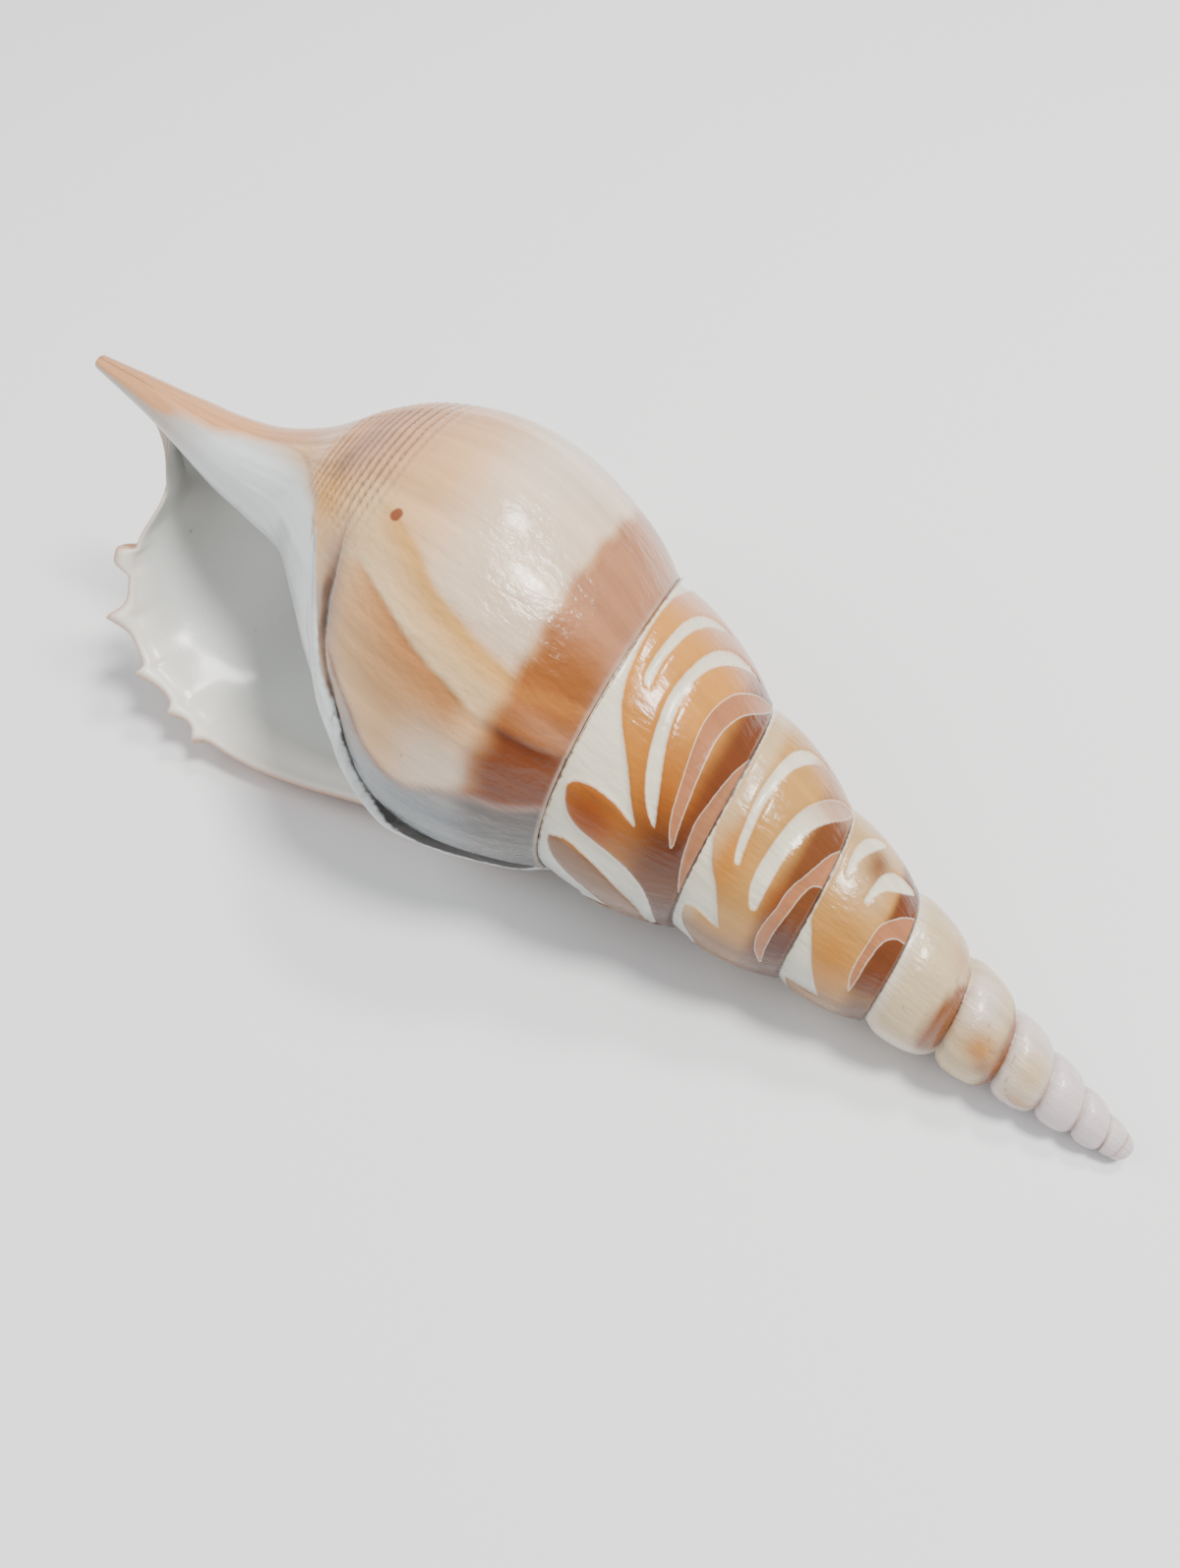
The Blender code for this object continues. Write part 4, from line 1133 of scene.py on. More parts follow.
@dataclass
class ShellSurface:
    """The whole shell as one closed mesh.

    A point of an outline is turned about the axis by its angle: y is the radius times the sine, less the
    offset, and z is the radius times the cosine. On the spire the outline goes straight from one suture to
    the next with a low bulge, and the suture moves down as an exponential of the angle. On the last whorl it
    is a smooth curve through 14 points, blended from one angle to the next. The relief of the markings is
    added along the outline's normal.
    """

    form: ShellForm = field(default_factory=ShellForm)
    turns: float = 8.5
    fine_turns: int = 3
    coarse_parts: Array = field(default_factory=lambda: (
        0.4 * np.linspace(0, 1, 14) + 0.3 - 0.3 * np.cos(np.pi * np.linspace(0, 1, 14))))
    inner_columns: int = 38
    edge_rows: int = 5
    apex_rings: int = 9
    hollow_from: float = 4.7
    hollow_to: float = 11.0
    lip_leaves: float = 0.75
    pinch_depth: float = 0.72
    deepening: float = 1.25
    canal_tip: tuple = (-79.5, -3.6, 0.0)
    back_steps: Array = field(default_factory=lambda: steps_between(
        (0, 8, 0.9), (8, 24, 2.0), (24, 160, 4.0), (160, 346, 1.4), (346, 360, 1.75)))
    parts: Array = field(default_factory=lambda: np.concatenate([
        (0, 0.006, 0.014, 0.024, 0.036, 0.052), np.linspace(0.075, 0.93, 31),
        (0.95, 0.964, 0.976, 0.987, 0.995, 1)]))
    lip_rows: Array = field(default_factory=lambda: np.append(steps_between(
        (3.2, 4.3, 0.1), (4.3, 6.4, 0.032), (6.4, 7.7, 0.04), (7.7, 10.2, 0.055), (10.2, 13.0, 0.14)), 13.0))

    def __post_init__(self) -> None:
        """Set up the markings."""
        self.markings = Markings(self.form)

    def shared_rows(self, first: Array, rows: Array, width: float) -> Array:
        """Row places that start at another value and run into the same ones further down."""
        return rows[None, :] - (rows[0] - first[:, None]) * (1 - smooth((rows[None, :] - rows[0]) / width))

    def spire_points(self, angle: Array, part: Array) -> Array:
        """Points in space of the carved spire.

        Args:
            angle: Angles in radians.
            part: Places from 0 to 1.

        Returns:
            Points in millimetres.
        """
        points, normal = self.form.spire(angle, part)
        upper, lower = self.form.suture(angle), self.form.suture(angle + TURN)
        size = np.hypot(*np.moveaxis((lower - upper)[..., :2], -1, 0)).ravel()
        flat = part.ravel()
        shapes = self.markings.spire_shapes(np.degrees(angle).ravel(), flat)
        height = self.markings.spire_height(flat, size, *shapes).reshape(part.shape)
        return self.form.in_space(points + normal * height[..., None], angle)

    def last_whorl(self, angle: Array, place: Array) -> Array:
        """Points in space of the outside of the last whorl.

        Args:
            angle: Angles in radians.
            place: Places from 0 to 13.

        Returns:
            Points in millimetres.
        """
        degrees, flat = np.degrees(angle).ravel(), place.ravel()
        lines = self.markings.whorl_lines(degrees, flat)
        fine = self.markings.whorl_height(degrees, flat, lines).reshape(place.shape)
        height = self.form.relief(angle, place) + fine
        skin = self.form.with_points(angle, place, 1.0)
        return self.form.in_space(skin + self.form.outward(angle, place) * height[..., None], angle)

    def hollow(self, mesh: SurfaceMesh, grid: Array, begin: int, places: Array, top: int) -> None:
        """Build the hollow and the rounded edge of the lip.

        Args:
            mesh: The mesh so far.
            grid: Numbers of the outside, by column and row.
            begin: The column one turn before the lip.
            places: Places of the last turn, by column and row.
            top: The row at which the lip leaves the whorl before it.
        """
        form = self.form
        k = len(self.parts) - 1
        first_row = k + int(np.searchsorted(self.lip_rows, self.hollow_from))
        last_row = k + int(np.searchsorted(self.lip_rows, self.hollow_to))
        lip_rows = self.lip_rows[first_row - k:last_row - k + 1]
        share = np.linspace(1, 0, self.inner_columns) ** self.deepening
        deep = share[:, None] * form.depth
        start_place = places[0, first_row]
        floor_places = self.shared_rows(start_place + (5.0 - start_place) * share, lip_rows, 5.0)
        floor_places[-1] = places[0, first_row:last_row + 1]
        floor_angle = form.start - deep * form.reach_in(floor_places)
        floor = form.in_space(form.body(floor_angle, floor_places), floor_angle)
        row_places = places[-1, top:last_row + 1]
        ceiling_places = np.broadcast_to(row_places, (self.inner_columns, len(row_places)))
        ceiling_angle = form.lip - deep * form.reach_in(ceiling_places)
        thickness = form.wall(ceiling_angle, ceiling_places)
        behind = np.degrees(form.lip - ceiling_angle)
        full = 0.4 + 0.7 * (1 - ramp(ceiling_places, 5.0, 6.2))
        swell = full * bell(behind - 4.6, 2.8) * ramp(ceiling_places, 2.0, 3.4)
        thickness = thickness + swell * (1 - ramp(ceiling_places, 8.6, 10.0))
        ceiling = form.with_points(ceiling_angle, ceiling_places, 0.15)
        ceiling = ceiling - form.outward(ceiling_angle, ceiling_places) * thickness[..., None]
        roof = form.in_space(ceiling, ceiling_angle)
        floor[:, -1] = 0.5 * (floor[:, -1] + roof[:, -1])
        share_mark = share[:, None] * 100
        floor_grid = mesh.add(floor, share_mark, floor_places, Zone.INSIDE)
        floor_grid[-1] = grid[begin, first_row:last_row + 1]
        ceiling_grid = mesh.add(roof, share_mark, ceiling_places, Zone.INSIDE)
        ceiling_grid[:, 0] = floor_grid[:, 0]
        ceiling_grid[:, -1] = floor_grid[:, -1]
        mesh.sheet(floor_grid)
        mesh.sheet(ceiling_grid[::-1])
        mesh.seam(floor_grid[0], ceiling_grid[0], floor_places[0], ceiling_places[0])
        self.lip_edge(mesh, grid[-1, top:last_row + 1], ceiling_grid[-1], row_places, ceiling[-1])
        mesh.seam(grid[-1, :top + 1][::-1], grid[begin, k:first_row + 1][::-1],
                  -places[-1, :top + 1][::-1], -self.lip_rows[:first_row - k + 1][::-1])
        mesh.sheet(np.stack([grid[-1, last_row:], grid[begin, last_row:]]))

    def lip_edge(self, mesh: SurfaceMesh, outer: Array, inner: Array, place: Array, ceiling: Array) -> None:
        """Round the edge of the lip: half an ellipse from the outside to the inside of the wall.

        Args:
            mesh: The mesh so far.
            outer: Numbers along the outside of the lip.
            inner: Numbers along its inside.
            place: Places along the lip.
            ceiling: Points along its inside, as position along the axis, radius and offset.
        """
        form = self.form
        at = form.lip + 0 * place
        skin = form.with_points(at, place, 1.0)
        middle = 0.5 * (skin + ceiling)
        half = 0.5 * (skin - ceiling)
        thick = np.linalg.norm(half, axis=-1)
        lines = [outer]
        for turn in np.linspace(0, np.pi, self.edge_rows + 2)[1:-1]:
            ahead = form.lip + 1.15 * thick * np.sin(turn) / middle[:, 1]
            points = form.in_space(middle + half * np.cos(turn), ahead)
            row = mesh.add(points, -100 * (1 - turn / np.pi), place, Zone.EDGE)
            row[0] = outer[0]
            row[-1] = outer[-1]
            lines.append(row)
        lines.append(inner)
        mesh.sheet(np.stack(lines))

    def build(self) -> tuple[Array, Array, Array]:
        """Make the closed surface.

        Returns:
            Points in millimetres, their marks and the faces.
        """
        form = self.form
        mesh = SurfaceMesh()
        per_turn = len(self.back_steps)
        columns = int(round((form.lip / TURN + self.turns + 1) * per_turn))
        back = np.arange(columns, -1, -1)
        angles = form.lip - np.radians(self.back_steps[back % per_turn]) - TURN * (back // per_turn)
        degrees = np.degrees(angles)
        begin = columns - per_turn
        fine = begin - self.fine_turns * per_turn
        k = len(self.parts) - 1
        edge = form.suture(angles)
        edge[:per_turn] = edge[per_turn]
        normal = form.spire(angles, 0 * angles)[1]
        size = np.abs(form.suture_x(angles + TURN) - edge[:, 0])
        groove = self.markings.groove_depth * np.clip(size / FULL_WHORL, 0.0, 1.0)
        deep = -groove * (1 - ramp(degrees, 170, 235))
        deep -= self.pinch_depth * self.markings.smallness(size)
        deep[:per_turn + 2] = 0
        grid = np.zeros((columns + 1, k + len(self.lip_rows)), int)
        line = form.in_space(edge + normal * deep[:, None], angles)
        grid[:, 0] = mesh.add(line, degrees, 0.0, Zone.SPIRE)
        grid[0, 0] = grid[per_turn, 0]
        inner = self.parts[1:-1]
        sides = np.broadcast_to(angles[fine:begin, None], (begin - fine, k - 1))
        part = np.broadcast_to(inner[None, :], sides.shape)
        grid[fine:begin, 1:k] = mesh.add(self.spire_points(sides, part), np.degrees(sides), part, Zone.SPIRE)
        turn = angles[begin:]
        joint = 1.0 + 2.2 * smooth((turn - form.start) / np.radians(150))
        upper_places = joint[:, None] * self.parts[None, :-1]
        places = np.concatenate([upper_places, self.shared_rows(joint, self.lip_rows, 4.5)], 1)
        around = np.broadcast_to(turn[:, None], places.shape)
        numbers = mesh.add(self.last_whorl(around, places), np.degrees(around), places, Zone.WHORL)
        numbers[:, 0] = grid[begin:, 0]
        grid[begin:] = numbers
        grid[fine:begin + 1, k] = grid[fine + per_turn:columns + 1, 0]
        mesh.sheet(grid[fine:begin + 1, :k + 1])
        mesh.sheet(grid[begin:])
        coarse = self.coarse_spire(mesh, grid[:, 0], angles[:fine], edge, per_turn)
        mesh.seam(grid[fine, :k + 1], coarse, self.parts, self.coarse_parts)
        self.hollow(mesh, grid, begin, places, int(np.searchsorted(self.parts, self.lip_leaves)))
        tip = mesh.add(np.array([self.canal_tip]), 0.0, self.lip_rows[-1], Zone.WHORL)[0]
        mesh.fan(tip, grid[begin:, -1])
        self.apex(mesh, grid[:per_turn, 0], angles[:per_turn], edge[0])
        return mesh.finished()

    def coarse_spire(
            self, mesh: SurfaceMesh, suture: Array, angles: Array, edge: Array, per_turn: int) -> Array:
        """Build the small whorls near the apex, which have fewer rows.

        Args:
            mesh: The mesh so far.
            suture: Numbers along the suture, for all columns.
            angles: Angles of these columns in radians.
            edge: Points of the suture, for all columns.
            per_turn: Columns in one turn.

        Returns:
            The numbers of the last of these columns.
        """
        rows = len(self.coarse_parts) - 1
        part = self.coarse_parts[1:-1]
        sides = np.broadcast_to(angles[:, None], (len(angles), rows - 1))
        parts = np.broadcast_to(part[None, :], sides.shape)
        points = self.spire_points(sides, parts)
        upper = edge[:per_turn, None, :]
        lower = edge[per_turn:2 * per_turn, None, :]
        first = upper + (lower - upper) * part[None, :, None]
        first[..., 1] += self.form.whorl_bulge * (upper - lower)[..., 0] * self.form.bulging(part)
        points[:per_turn] = self.form.in_space(first, sides[:per_turn])
        coarse = np.zeros((len(angles), rows + 1), int)
        coarse[:, 0] = suture[:len(angles)]
        coarse[:, 1:rows] = mesh.add(points, np.degrees(sides), parts, Zone.SPIRE)
        coarse[:, rows] = suture[per_turn:per_turn + len(angles)]
        coarse[0] = coarse[0, 0]
        mesh.sheet(coarse)
        return coarse[-1]

    def apex(self, mesh: SurfaceMesh, ring: Array, sides: Array, edge: Array) -> None:
        """Close the blunt apex with rings that rise and narrow as on a quarter of an ellipse.

        Args:
            mesh: The mesh so far.
            ring: Numbers round the first turn.
            sides: Their angles in radians.
            edge: The point of the suture there.
        """
        form = self.form
        for step in np.linspace(0, 1, self.apex_rings)[1:-1]:
            height = edge[0] + (form.apex_x - edge[0]) * np.sin(step * np.pi / 2)
            radius = edge[1] * np.cos(step * np.pi / 2)
            level = np.stack([height + 0 * sides, radius + 0 * sides, 0 * sides], -1)
            higher = mesh.add(form.in_space(level, sides), np.degrees(sides), 0.5, Zone.TIP)
            mesh.sheet(np.stack([np.append(higher, higher[0]), np.append(ring, ring[0])], 1))
            ring = higher
        point = mesh.add(np.array([(form.apex_x, 0.0, 0.0)]), 0.0, 0.5, Zone.TIP)[0]
        mesh.fan(point, ring[::-1])


@dataclass
class Coat:
    """What the finish reads at each point: colours, distances in millimetres and how matt it is."""

    tone: Array
    cut_tone: Array
    cut: Array
    line: Array
    seam: Array
    slit: Array
    matt: Array
    grain: Array

    @staticmethod
    def worked_out(markings: Markings, angle: Array, place: Array, zone: Array) -> "Coat":
        """Work out the coat of every point.

        Args:
            markings: The markings of the shell.
            angle: Angles in degrees, or the percentage of the way in for the hollow.
            place: Places.
            zone: Values of Zone.

        Returns:
            The coat.
        """
        count = len(angle)
        tone = markings.plain("pinkish", count)
        cut_tone = markings.plain("white", count)
        cut = np.full(count, -2.0)
        line = np.full(count, 2.0)
        seam = np.full(count, 5.0)
        slit = np.full(count, 5.0)
        matt = np.zeros(count)
        grain = np.full(count, 0.6)
        form = markings.form
        here = zone == Zone.SPIRE.value
        degrees, part = angle[here], place[here]
        radians = np.radians(degrees)
        gap = form.suture(radians + TURN) - form.suture(radians)
        size = np.hypot(gap[:, 0], gap[:, 1])
        white, thin, line[here] = markings.spire_shapes(degrees, part)
        tone[here] = markings.spire_tone(degrees, part)
        cut_tone[here] = markings.cut_tone(degrees, part, white, thin)
        cut[here] = np.maximum(white, thin)
        seam[here] = np.minimum(part, 1 - part) * size + 0.5 * ramp(size, 9.5, 6.0)
        here = zone == Zone.WHORL.value
        degrees, down = angle[here], place[here]
        lines = markings.whorl_lines(degrees, down)
        tone[here] = markings.whorl_tone(degrees, down, lines)
        seam[here] = down * SUTURE_MM + 3 * ramp(degrees, 225, 240)
        slit[here] = markings.slit_distance(degrees, down, lines)
        matt[here] = 1.5 * ramp(slit[here], 0.5, 0.0)
        line[here] = np.minimum(lines["growth"][0] + 0.1, lines["glaze"][0] + 0.14 * ramp(down, 2.6, 1.4))
        grain[here] = 1 - 0.8 * ramp(form.glaze_edge(down) - degrees, 0, 6)
        inside = (zone == Zone.INSIDE.value) | (zone == Zone.EDGE.value)
        tone[inside] = markings.inside_tone(angle[inside] / 100, place[inside])
        matt[inside] = 0.6
        grain[inside] = 0.06
        return Coat(tone, cut_tone, cut, line, seam, slit, matt, grain)


class NodeBench:
    """Short ways to add shader nodes and to link them."""

    def __init__(self, material: bpy.types.Material) -> None:
        """Start on a material.

        Args:
            material: A new material, which has only the shader and the output.
        """
        material.use_nodes = True
        self.tree = material.node_tree
        self.shader = self.tree.nodes["Principled BSDF"]

    def put(self, socket: Socket, value: object) -> None:
        """Link a socket to a socket, or set its value."""
        if isinstance(value, Socket):
            self.tree.links.new(value, socket)
        else:
            socket.default_value = value

    def attribute(self, name: str) -> bpy.types.Node:
        """A node that reads an attribute of the mesh.

        Args:
            name: Name of the attribute.

        Returns:
            The node.
        """
        node = self.tree.nodes.new("ShaderNodeAttribute")
        node.attribute_name = name
        return node

    def number(self, name: str) -> Socket:
        """The value of a named attribute."""
        return self.attribute(name).outputs["Fac"]

    def math(self, kind: str, first: object, second: object = 0.0) -> Socket:
        """A sum, product or other operation on two numbers.

        Args:
            kind: The operation.
            first: The first number.
            second: The second number.

        Returns:
            The result's socket.
        """
        node = self.tree.nodes.new("ShaderNodeMath")
        node.operation = kind
        self.put(node.inputs[0], first)
        self.put(node.inputs[1], second)
        return node.outputs[0]

    def times(self, first: object, second: object) -> Socket:
        """The product of two numbers."""
        return self.math("MULTIPLY", first, second)

    def plus(self, first: object, second: object) -> Socket:
        """The sum of two numbers."""
        return self.math("ADD", first, second)

    def step(self, value: object, low: float, high: float, start: float = 0.0, end: float = 1.0) -> Socket:
        """Ease from start at low to end at high.

        Args:
            value: The number that is read.
            low: Where the ramp starts.
            high: Where it ends.
            start: What it gives below low.
            end: What it gives above high.

        Returns:
            The result's socket.
        """
        node = self.tree.nodes.new("ShaderNodeMapRange")
        node.interpolation_type = "SMOOTHSTEP"
        names = ("Value", "From Min", "From Max", "To Min", "To Max")
        for name, given in zip(names, (value, low, high, start, end)):
            self.put(node.inputs[name], given)
        return node.outputs[0]

    def stretched(self, source: Socket, scale: tuple) -> Socket:
        """Stretch coordinates.

        Args:
            source: The coordinates.
            scale: What each axis is multiplied by.

        Returns:
            The new coordinates.
        """
        node = self.tree.nodes.new("ShaderNodeMapping")
        self.put(node.inputs["Vector"], source)
        self.put(node.inputs["Scale"], scale)
        return node.outputs[0]

    def noise(self, where: Socket, scale: float, detail: float = 3.0) -> Socket:
        """Soft noise.

        Args:
            where: The coordinates.
            scale: How fine it is.
            detail: How many finer layers it has.

        Returns:
            The socket of a number from 0 to 1.
        """
        node = self.tree.nodes.new("ShaderNodeTexNoise")
        self.put(node.inputs["Vector"], where)
        self.put(node.inputs["Scale"], scale)
        self.put(node.inputs["Detail"], detail)
        return node.outputs["Fac"]

    def mix(self, share: object, first: object, second: object, kind: str = "MIX") -> Socket:
        """Mix two colours.

        Args:
            share: How much of the second colour.
            first: The first colour.
            second: The second colour.
            kind: How they are mixed.

        Returns:
            The mixed colour's socket.
        """
        node = self.tree.nodes.new("ShaderNodeMix")
        node.data_type = "RGBA"
        node.blend_type = kind
        self.put(node.inputs[0], share)
        self.put(node.inputs[6], first)
        self.put(node.inputs[7], second)
        return node.outputs[2]


@dataclass(frozen=True)
class ShellFinish:
    """Polished shell: layered colours with growth streaks, crisp edges to the carving, and a glossy coat."""

    name: str = "polished_shell"
    polished: float = 0.24
    carved: float = 0.34
    speck_scale: float = 420.0
    fine_scale: float = 1500.0
    broad_scale: float = 90.0
    dot_radius: float = 0.0009
    bump_height: float = 0.0005
    bump_strength: float = 0.6
    streak_scale: tuple = (1.3, 0.07, 1.0)
    band_scale: tuple = (0.3, 0.03, 1.0)
    glint_scale: tuple = (1.1, 0.45, 1.0)
    suture_dark: tuple = (0.07, 0.035, 0.028, 1.0)
    # Painted highlight: the light warm line along the edge of each cut.
    edge_highlight_paint: tuple = (0.86, 0.74, 0.6, 1.0)
    speck: tuple = (0.25, 0.12, 0.07, 1.0)
    dirt: tuple = (0.008, 0.005, 0.004, 1.0)
    dot: tuple = (0.2, 0.05, 0.02, 1.0)
    dot_place: tuple = (0.0, 0.0, 0.0)
    shine: tuple = (
        ("Coat Weight", 0.3), ("Specular IOR Level", 0.36), ("Coat Roughness", 0.14),
        ("Subsurface Weight", 0.08), ("Subsurface Radius", (0.9, 0.5, 0.3)), ("Subsurface Scale", 0.0015))

    def colour(self, bench: NodeBench, grain: Socket, fine: Socket) -> None:
        """Set the colour: tone, then the cut layer, a painted highlight along its edge, streaks, specks and
        the dark lines.

        Args:
            bench: The material's nodes.
            grain: Streaks along the growth lines, round 0.
            fine: Fine noise for the ragged edges.
        """
        ragged = bench.times(bench.math("SUBTRACT", fine, 0.5), 0.16)
        depth = bench.plus(bench.number("cut"), ragged)
        colour = bench.mix(bench.step(depth, -0.05, 0.05), bench.attribute("tone").outputs["Color"],
                           bench.attribute("cut_tone").outputs["Color"])
        # Painted highlight: a light warm band just outside the edge of each cut.
        near = bench.math("ABSOLUTE", bench.plus(depth, 0.07))
        colour = bench.mix(bench.step(near, 0.12, 0.02, 0.0, 0.45), colour, self.edge_highlight_paint)
        shade = bench.plus(bench.times(grain, 0.8), 1.0)
        grey = bench.tree.nodes.new("ShaderNodeCombineColor")
        for socket in grey.inputs:
            bench.put(socket, shade)
        colour = bench.mix(1.0, colour, grey.outputs[0], "MULTIPLY")
        specks = bench.tree.nodes.new("ShaderNodeTexVoronoi")
        bench.put(specks.inputs["Vector"], self.places(bench))
        bench.put(specks.inputs["Scale"], self.speck_scale)
        dots = bench.times(bench.step(specks.outputs["Distance"], 0.16, 0.05), bench.step(fine, 0.55, 0.7))
        colour = bench.mix(bench.times(dots, 0.45), colour, self.speck)
        engraved = bench.step(bench.number("line"), 0.22, 0.04, 0.0, 0.5)
        colour = bench.mix(engraved, colour, self.speck)
        wander = bench.plus(bench.number("seam"), bench.times(ragged, 2.2))
        colour = bench.mix(bench.step(wander, 0.24, 0.04, 0.0, 0.9), colour, self.suture_dark)
        dirt = bench.plus(bench.number("slit"), bench.times(ragged, 2.0))
        colour = bench.mix(bench.step(dirt, 0.5, 0.15, 0.0, 0.97), colour, self.dirt)
        gap = bench.tree.nodes.new("ShaderNodeVectorMath")
        gap.operation = "DISTANCE"
        bench.put(gap.inputs[0], self.places(bench))
        bench.put(gap.inputs[1], self.dot_place)
        blot = bench.plus(gap.outputs["Value"], bench.times(ragged, 0.0012))
        inner = self.dot_radius / 1.5
        colour = bench.mix(bench.step(blot, self.dot_radius, inner, 0.0, 0.95), colour, self.dot)
        bench.put(bench.shader.inputs["Base Color"], colour)

    def places(self, bench: NodeBench) -> Socket:
        """Coordinates on the object, in metres."""
        return bench.tree.nodes.new("ShaderNodeTexCoord").outputs["Object"]

    def material(self) -> bpy.types.Material:
        """Make the material.

        Returns:
            The material.
        """
        material = bpy.data.materials.new(self.name)
        bench = NodeBench(material)
        growth = bench.tree.nodes.new("ShaderNodeUVMap")
        growth.uv_map = "growth"
        narrow = bench.noise(bench.stretched(growth.outputs[0], self.streak_scale), 1.0, 3.0)
        wide = bench.noise(bench.stretched(growth.outputs[0], self.band_scale), 1.0, 2.0)
        streaks = bench.math("SUBTRACT", bench.plus(bench.times(narrow, 0.4), wide), 0.7)
        grain = bench.times(streaks, bench.number("grain"))
        fine = bench.noise(self.places(bench), self.fine_scale, 2.0)
        broad = bench.noise(self.places(bench), self.broad_scale, 3.0)
        self.colour(bench, grain, fine)
        rough = bench.step(bench.number("cut"), -0.1, 0.1, self.polished, self.carved)
        rough = bench.plus(rough, bench.times(bench.math("SUBTRACT", broad, 0.5), 0.16))
        rough = bench.plus(rough, bench.times(bench.number("matt"), 0.2))
        bench.put(bench.shader.inputs["Roughness"], rough)
        glints = bench.noise(bench.stretched(growth.outputs[0], self.glint_scale), 1.0, 3.0)
        height = bench.times(bench.plus(bench.times(glints, 0.8), broad), bench.number("grain"))
        height = bench.plus(height, bench.times(fine, 0.1))
        bump = bench.tree.nodes.new("ShaderNodeBump")
        bench.put(bump.inputs["Height"], height)
        bench.put(bump.inputs["Distance"], self.bump_height)
        bench.put(bump.inputs["Strength"], self.bump_strength)
        bench.put(bench.shader.inputs["Normal"], bump.outputs[0])
        for name, value in self.shine:
            bench.put(bench.shader.inputs[name], value)
        return material


@dataclass
class CarvedShell:
    """The whole shell, which is one piece."""

    name: str = "carved_shell"
    surface: ShellSurface = field(default_factory=ShellSurface)
    dot_at: tuple = (8.0, 4.08)

    def growth_map(self, mesh: bpy.types.Mesh, marks: Array, faces: Array) -> None:
        """Lay a map over the surface: angle across and place along, in millimetres.

        Args:
            mesh: The mesh, with its faces.
            marks: Angle, place and zone of each point.
            faces: Numbers of the corners of each face.
        """
        angle = marks[faces, 0]
        place = marks[faces, 1]
        spire = (marks[faces, 2] == Zone.SPIRE.value).all(1, keepdims=True)
        later = spire & (angle - angle.min(1, keepdims=True) > 180)
        angle = angle - 360 * later
        place = np.where(later, 1.0, place) * np.where(spire, 14.0, 6.6)
        flat = np.stack([angle * 0.3, place], -1).reshape(-1)
        mesh.uv_layers.new(name="growth").data.foreach_set("uv", flat.astype(np.float32))

    def build(self) -> bpy.types.Object:
        """Build, dress and register the shell.

        Returns:
            The shell's object.
        """
        points, marks, faces = self.surface.build()
        mesh = bpy.data.meshes.new(self.name)
        mesh.vertices.add(len(points))
        mesh.vertices.foreach_set("co", self.surface.form.at_rest(points).ravel())
        mesh.loops.add(faces.size)
        mesh.loops.foreach_set("vertex_index", faces.ravel())
        mesh.polygons.add(len(faces))
        mesh.polygons.foreach_set("loop_start", np.arange(0, faces.size, 3))
        mesh.polygons.foreach_set("use_smooth", np.ones(len(faces), bool))
        mesh.update(calc_edges=True)
        self.growth_map(mesh, marks, faces)
        coat = Coat.worked_out(self.surface.markings, marks[:, 0], marks[:, 1], marks[:, 2])
        for name in ("tone", "cut_tone"):
            colour = np.ones((len(points), 4))
            colour[:, :3] = getattr(coat, name)
            mesh.attributes.new(name, "FLOAT_COLOR", "POINT").data.foreach_set("color", colour.ravel())
        for name in ("cut", "line", "seam", "slit", "matt", "grain"):
            mesh.attributes.new(name, "FLOAT", "POINT").data.foreach_set("value", getattr(coat, name))
        shell = bpy.data.objects.new(self.name, mesh)
        bpy.context.scene.collection.objects.link(shell)
        angle, place = np.radians([self.dot_at[0]]), np.array([self.dot_at[1]])
        dot = self.surface.form.at_rest(self.surface.last_whorl(angle, place))[0]
        mesh.materials.append(ShellFinish(dot_place=tuple(dot)).material())
        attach(shell, "root")
        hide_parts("shell")
        LOG.info("%s: %d points, %d triangles", self.name, len(points), len(faces))
        return shell


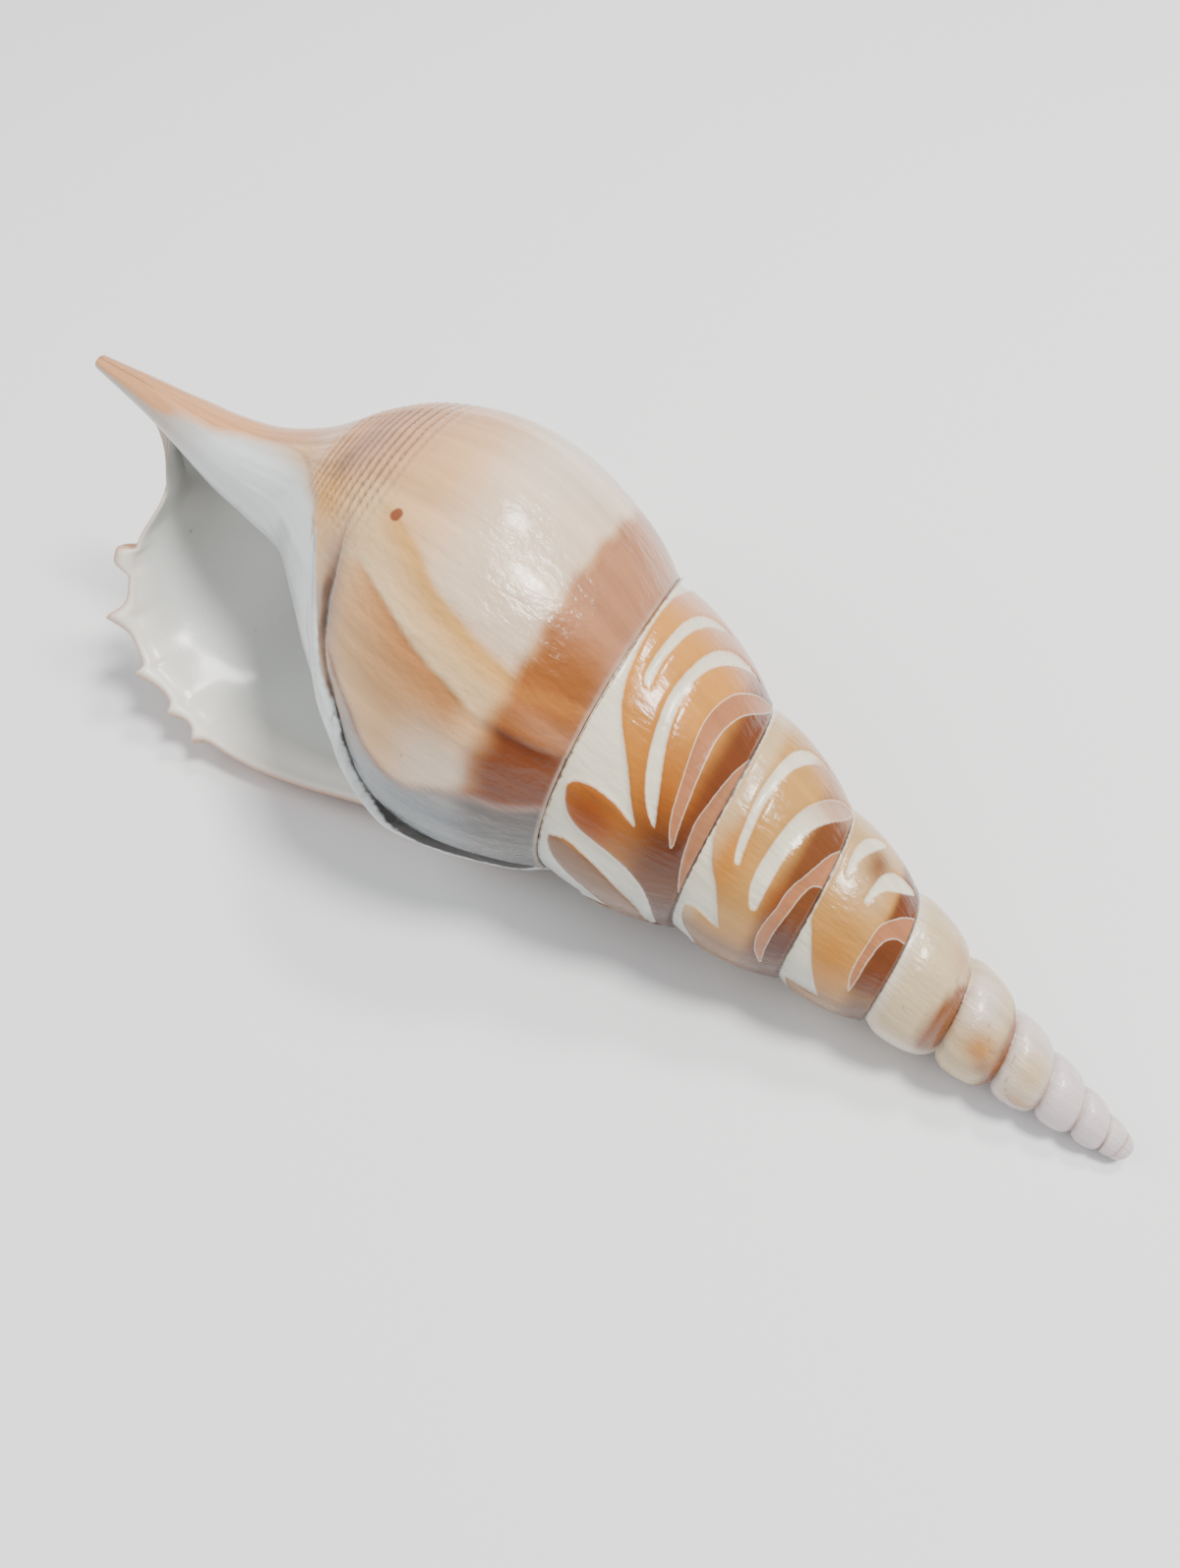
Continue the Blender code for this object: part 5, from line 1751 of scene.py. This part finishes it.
@dataclass
class Studio:
    """A pale table, soft light from the right and above, and the camera."""

    floor_size: float = 4.0
    floor_drop: float = 0.0002
    floor_colour: tuple = (0.8, 0.8, 0.8, 1.0)
    lens: float = 27.1016
    camera_place: tuple = (0.05332, -0.06244, 0.13185)
    camera_turn: tuple = (33.235, 1.296, 37.96)
    aim: tuple = (0.0, 0.0, 0.02)
    lamps: tuple = (
        ("key", (0.28, 0.16, 0.74), 0.2, 9.0, (1.0, 0.98, 0.95)),
        ("strip", (0.02, 0.34, 0.62), 0.12, 3.0, (1.0, 0.99, 0.97)),
        ("fill", (-0.5, -0.4, 0.7), 0.8, 5.5, (0.96, 0.98, 1.0)))
    world_colour: tuple = (0.92, 0.95, 1.0, 1.0)
    world_strength: float = 0.42

    def floor(self) -> None:
        """Lay the table, a hair under the shell."""
        half = self.floor_size / 2
        corners = [(x * half, y * half, -self.floor_drop) for x, y in ((-1, -1), (1, -1), (1, 1), (-1, 1))]
        mesh = bpy.data.meshes.new("table")
        mesh.from_pydata(corners, [], [(0, 1, 2, 3)])
        material = bpy.data.materials.new("table")
        bench = NodeBench(material)
        bench.put(bench.shader.inputs["Base Color"], self.floor_colour)
        bench.put(bench.shader.inputs["Roughness"], 0.7)
        mesh.materials.append(material)
        table = bpy.data.objects.new("table", mesh)
        bpy.context.scene.collection.objects.link(table)

    def light(self) -> None:
        """Hang the lamps and set the light of the room."""
        for name, place, size, power, colour in self.lamps:
            lamp = bpy.data.lights.new(name, "AREA")
            lamp.shape = "DISK"
            lamp.size = size
            lamp.energy = power
            lamp.color = colour
            holder = bpy.data.objects.new(name, lamp)
            holder.location = place
            holder.visible_glossy = name != "fill"
            holder.rotation_euler = (Vector(self.aim) - Vector(place)).to_track_quat("-Z", "Y").to_euler()
            bpy.context.scene.collection.objects.link(holder)
        world = bpy.data.worlds.new("room")
        world.use_nodes = True
        background = world.node_tree.nodes["Background"]
        background.inputs["Color"].default_value = self.world_colour
        background.inputs["Strength"].default_value = self.world_strength
        bpy.context.scene.world = world

    def camera(self) -> None:
        """Stand the camera where the photograph was taken from."""
        camera = bpy.data.cameras.new("camera")
        camera.lens = self.lens
        camera.sensor_width = 36.0
        camera.clip_start = 0.005
        holder = bpy.data.objects.new("camera", camera)
        holder.location = self.camera_place
        holder.rotation_euler = np.radians(self.camera_turn).tolist()
        bpy.context.scene.collection.objects.link(holder)
        bpy.context.scene.camera = holder

    def build(self) -> None:
        """Lay the table, hang the lamps and stand the camera."""
        self.camera()
        self.floor()
        self.light()
        LOG.info("studio: table, %d lamps, camera", len(self.lamps))


def main() -> None:
    """Build the studio and the shell."""
    logging.basicConfig(level=logging.INFO, format="%(message)s")
    Studio().build()
    CarvedShell().build()


if __name__ == "__main__":
    main()
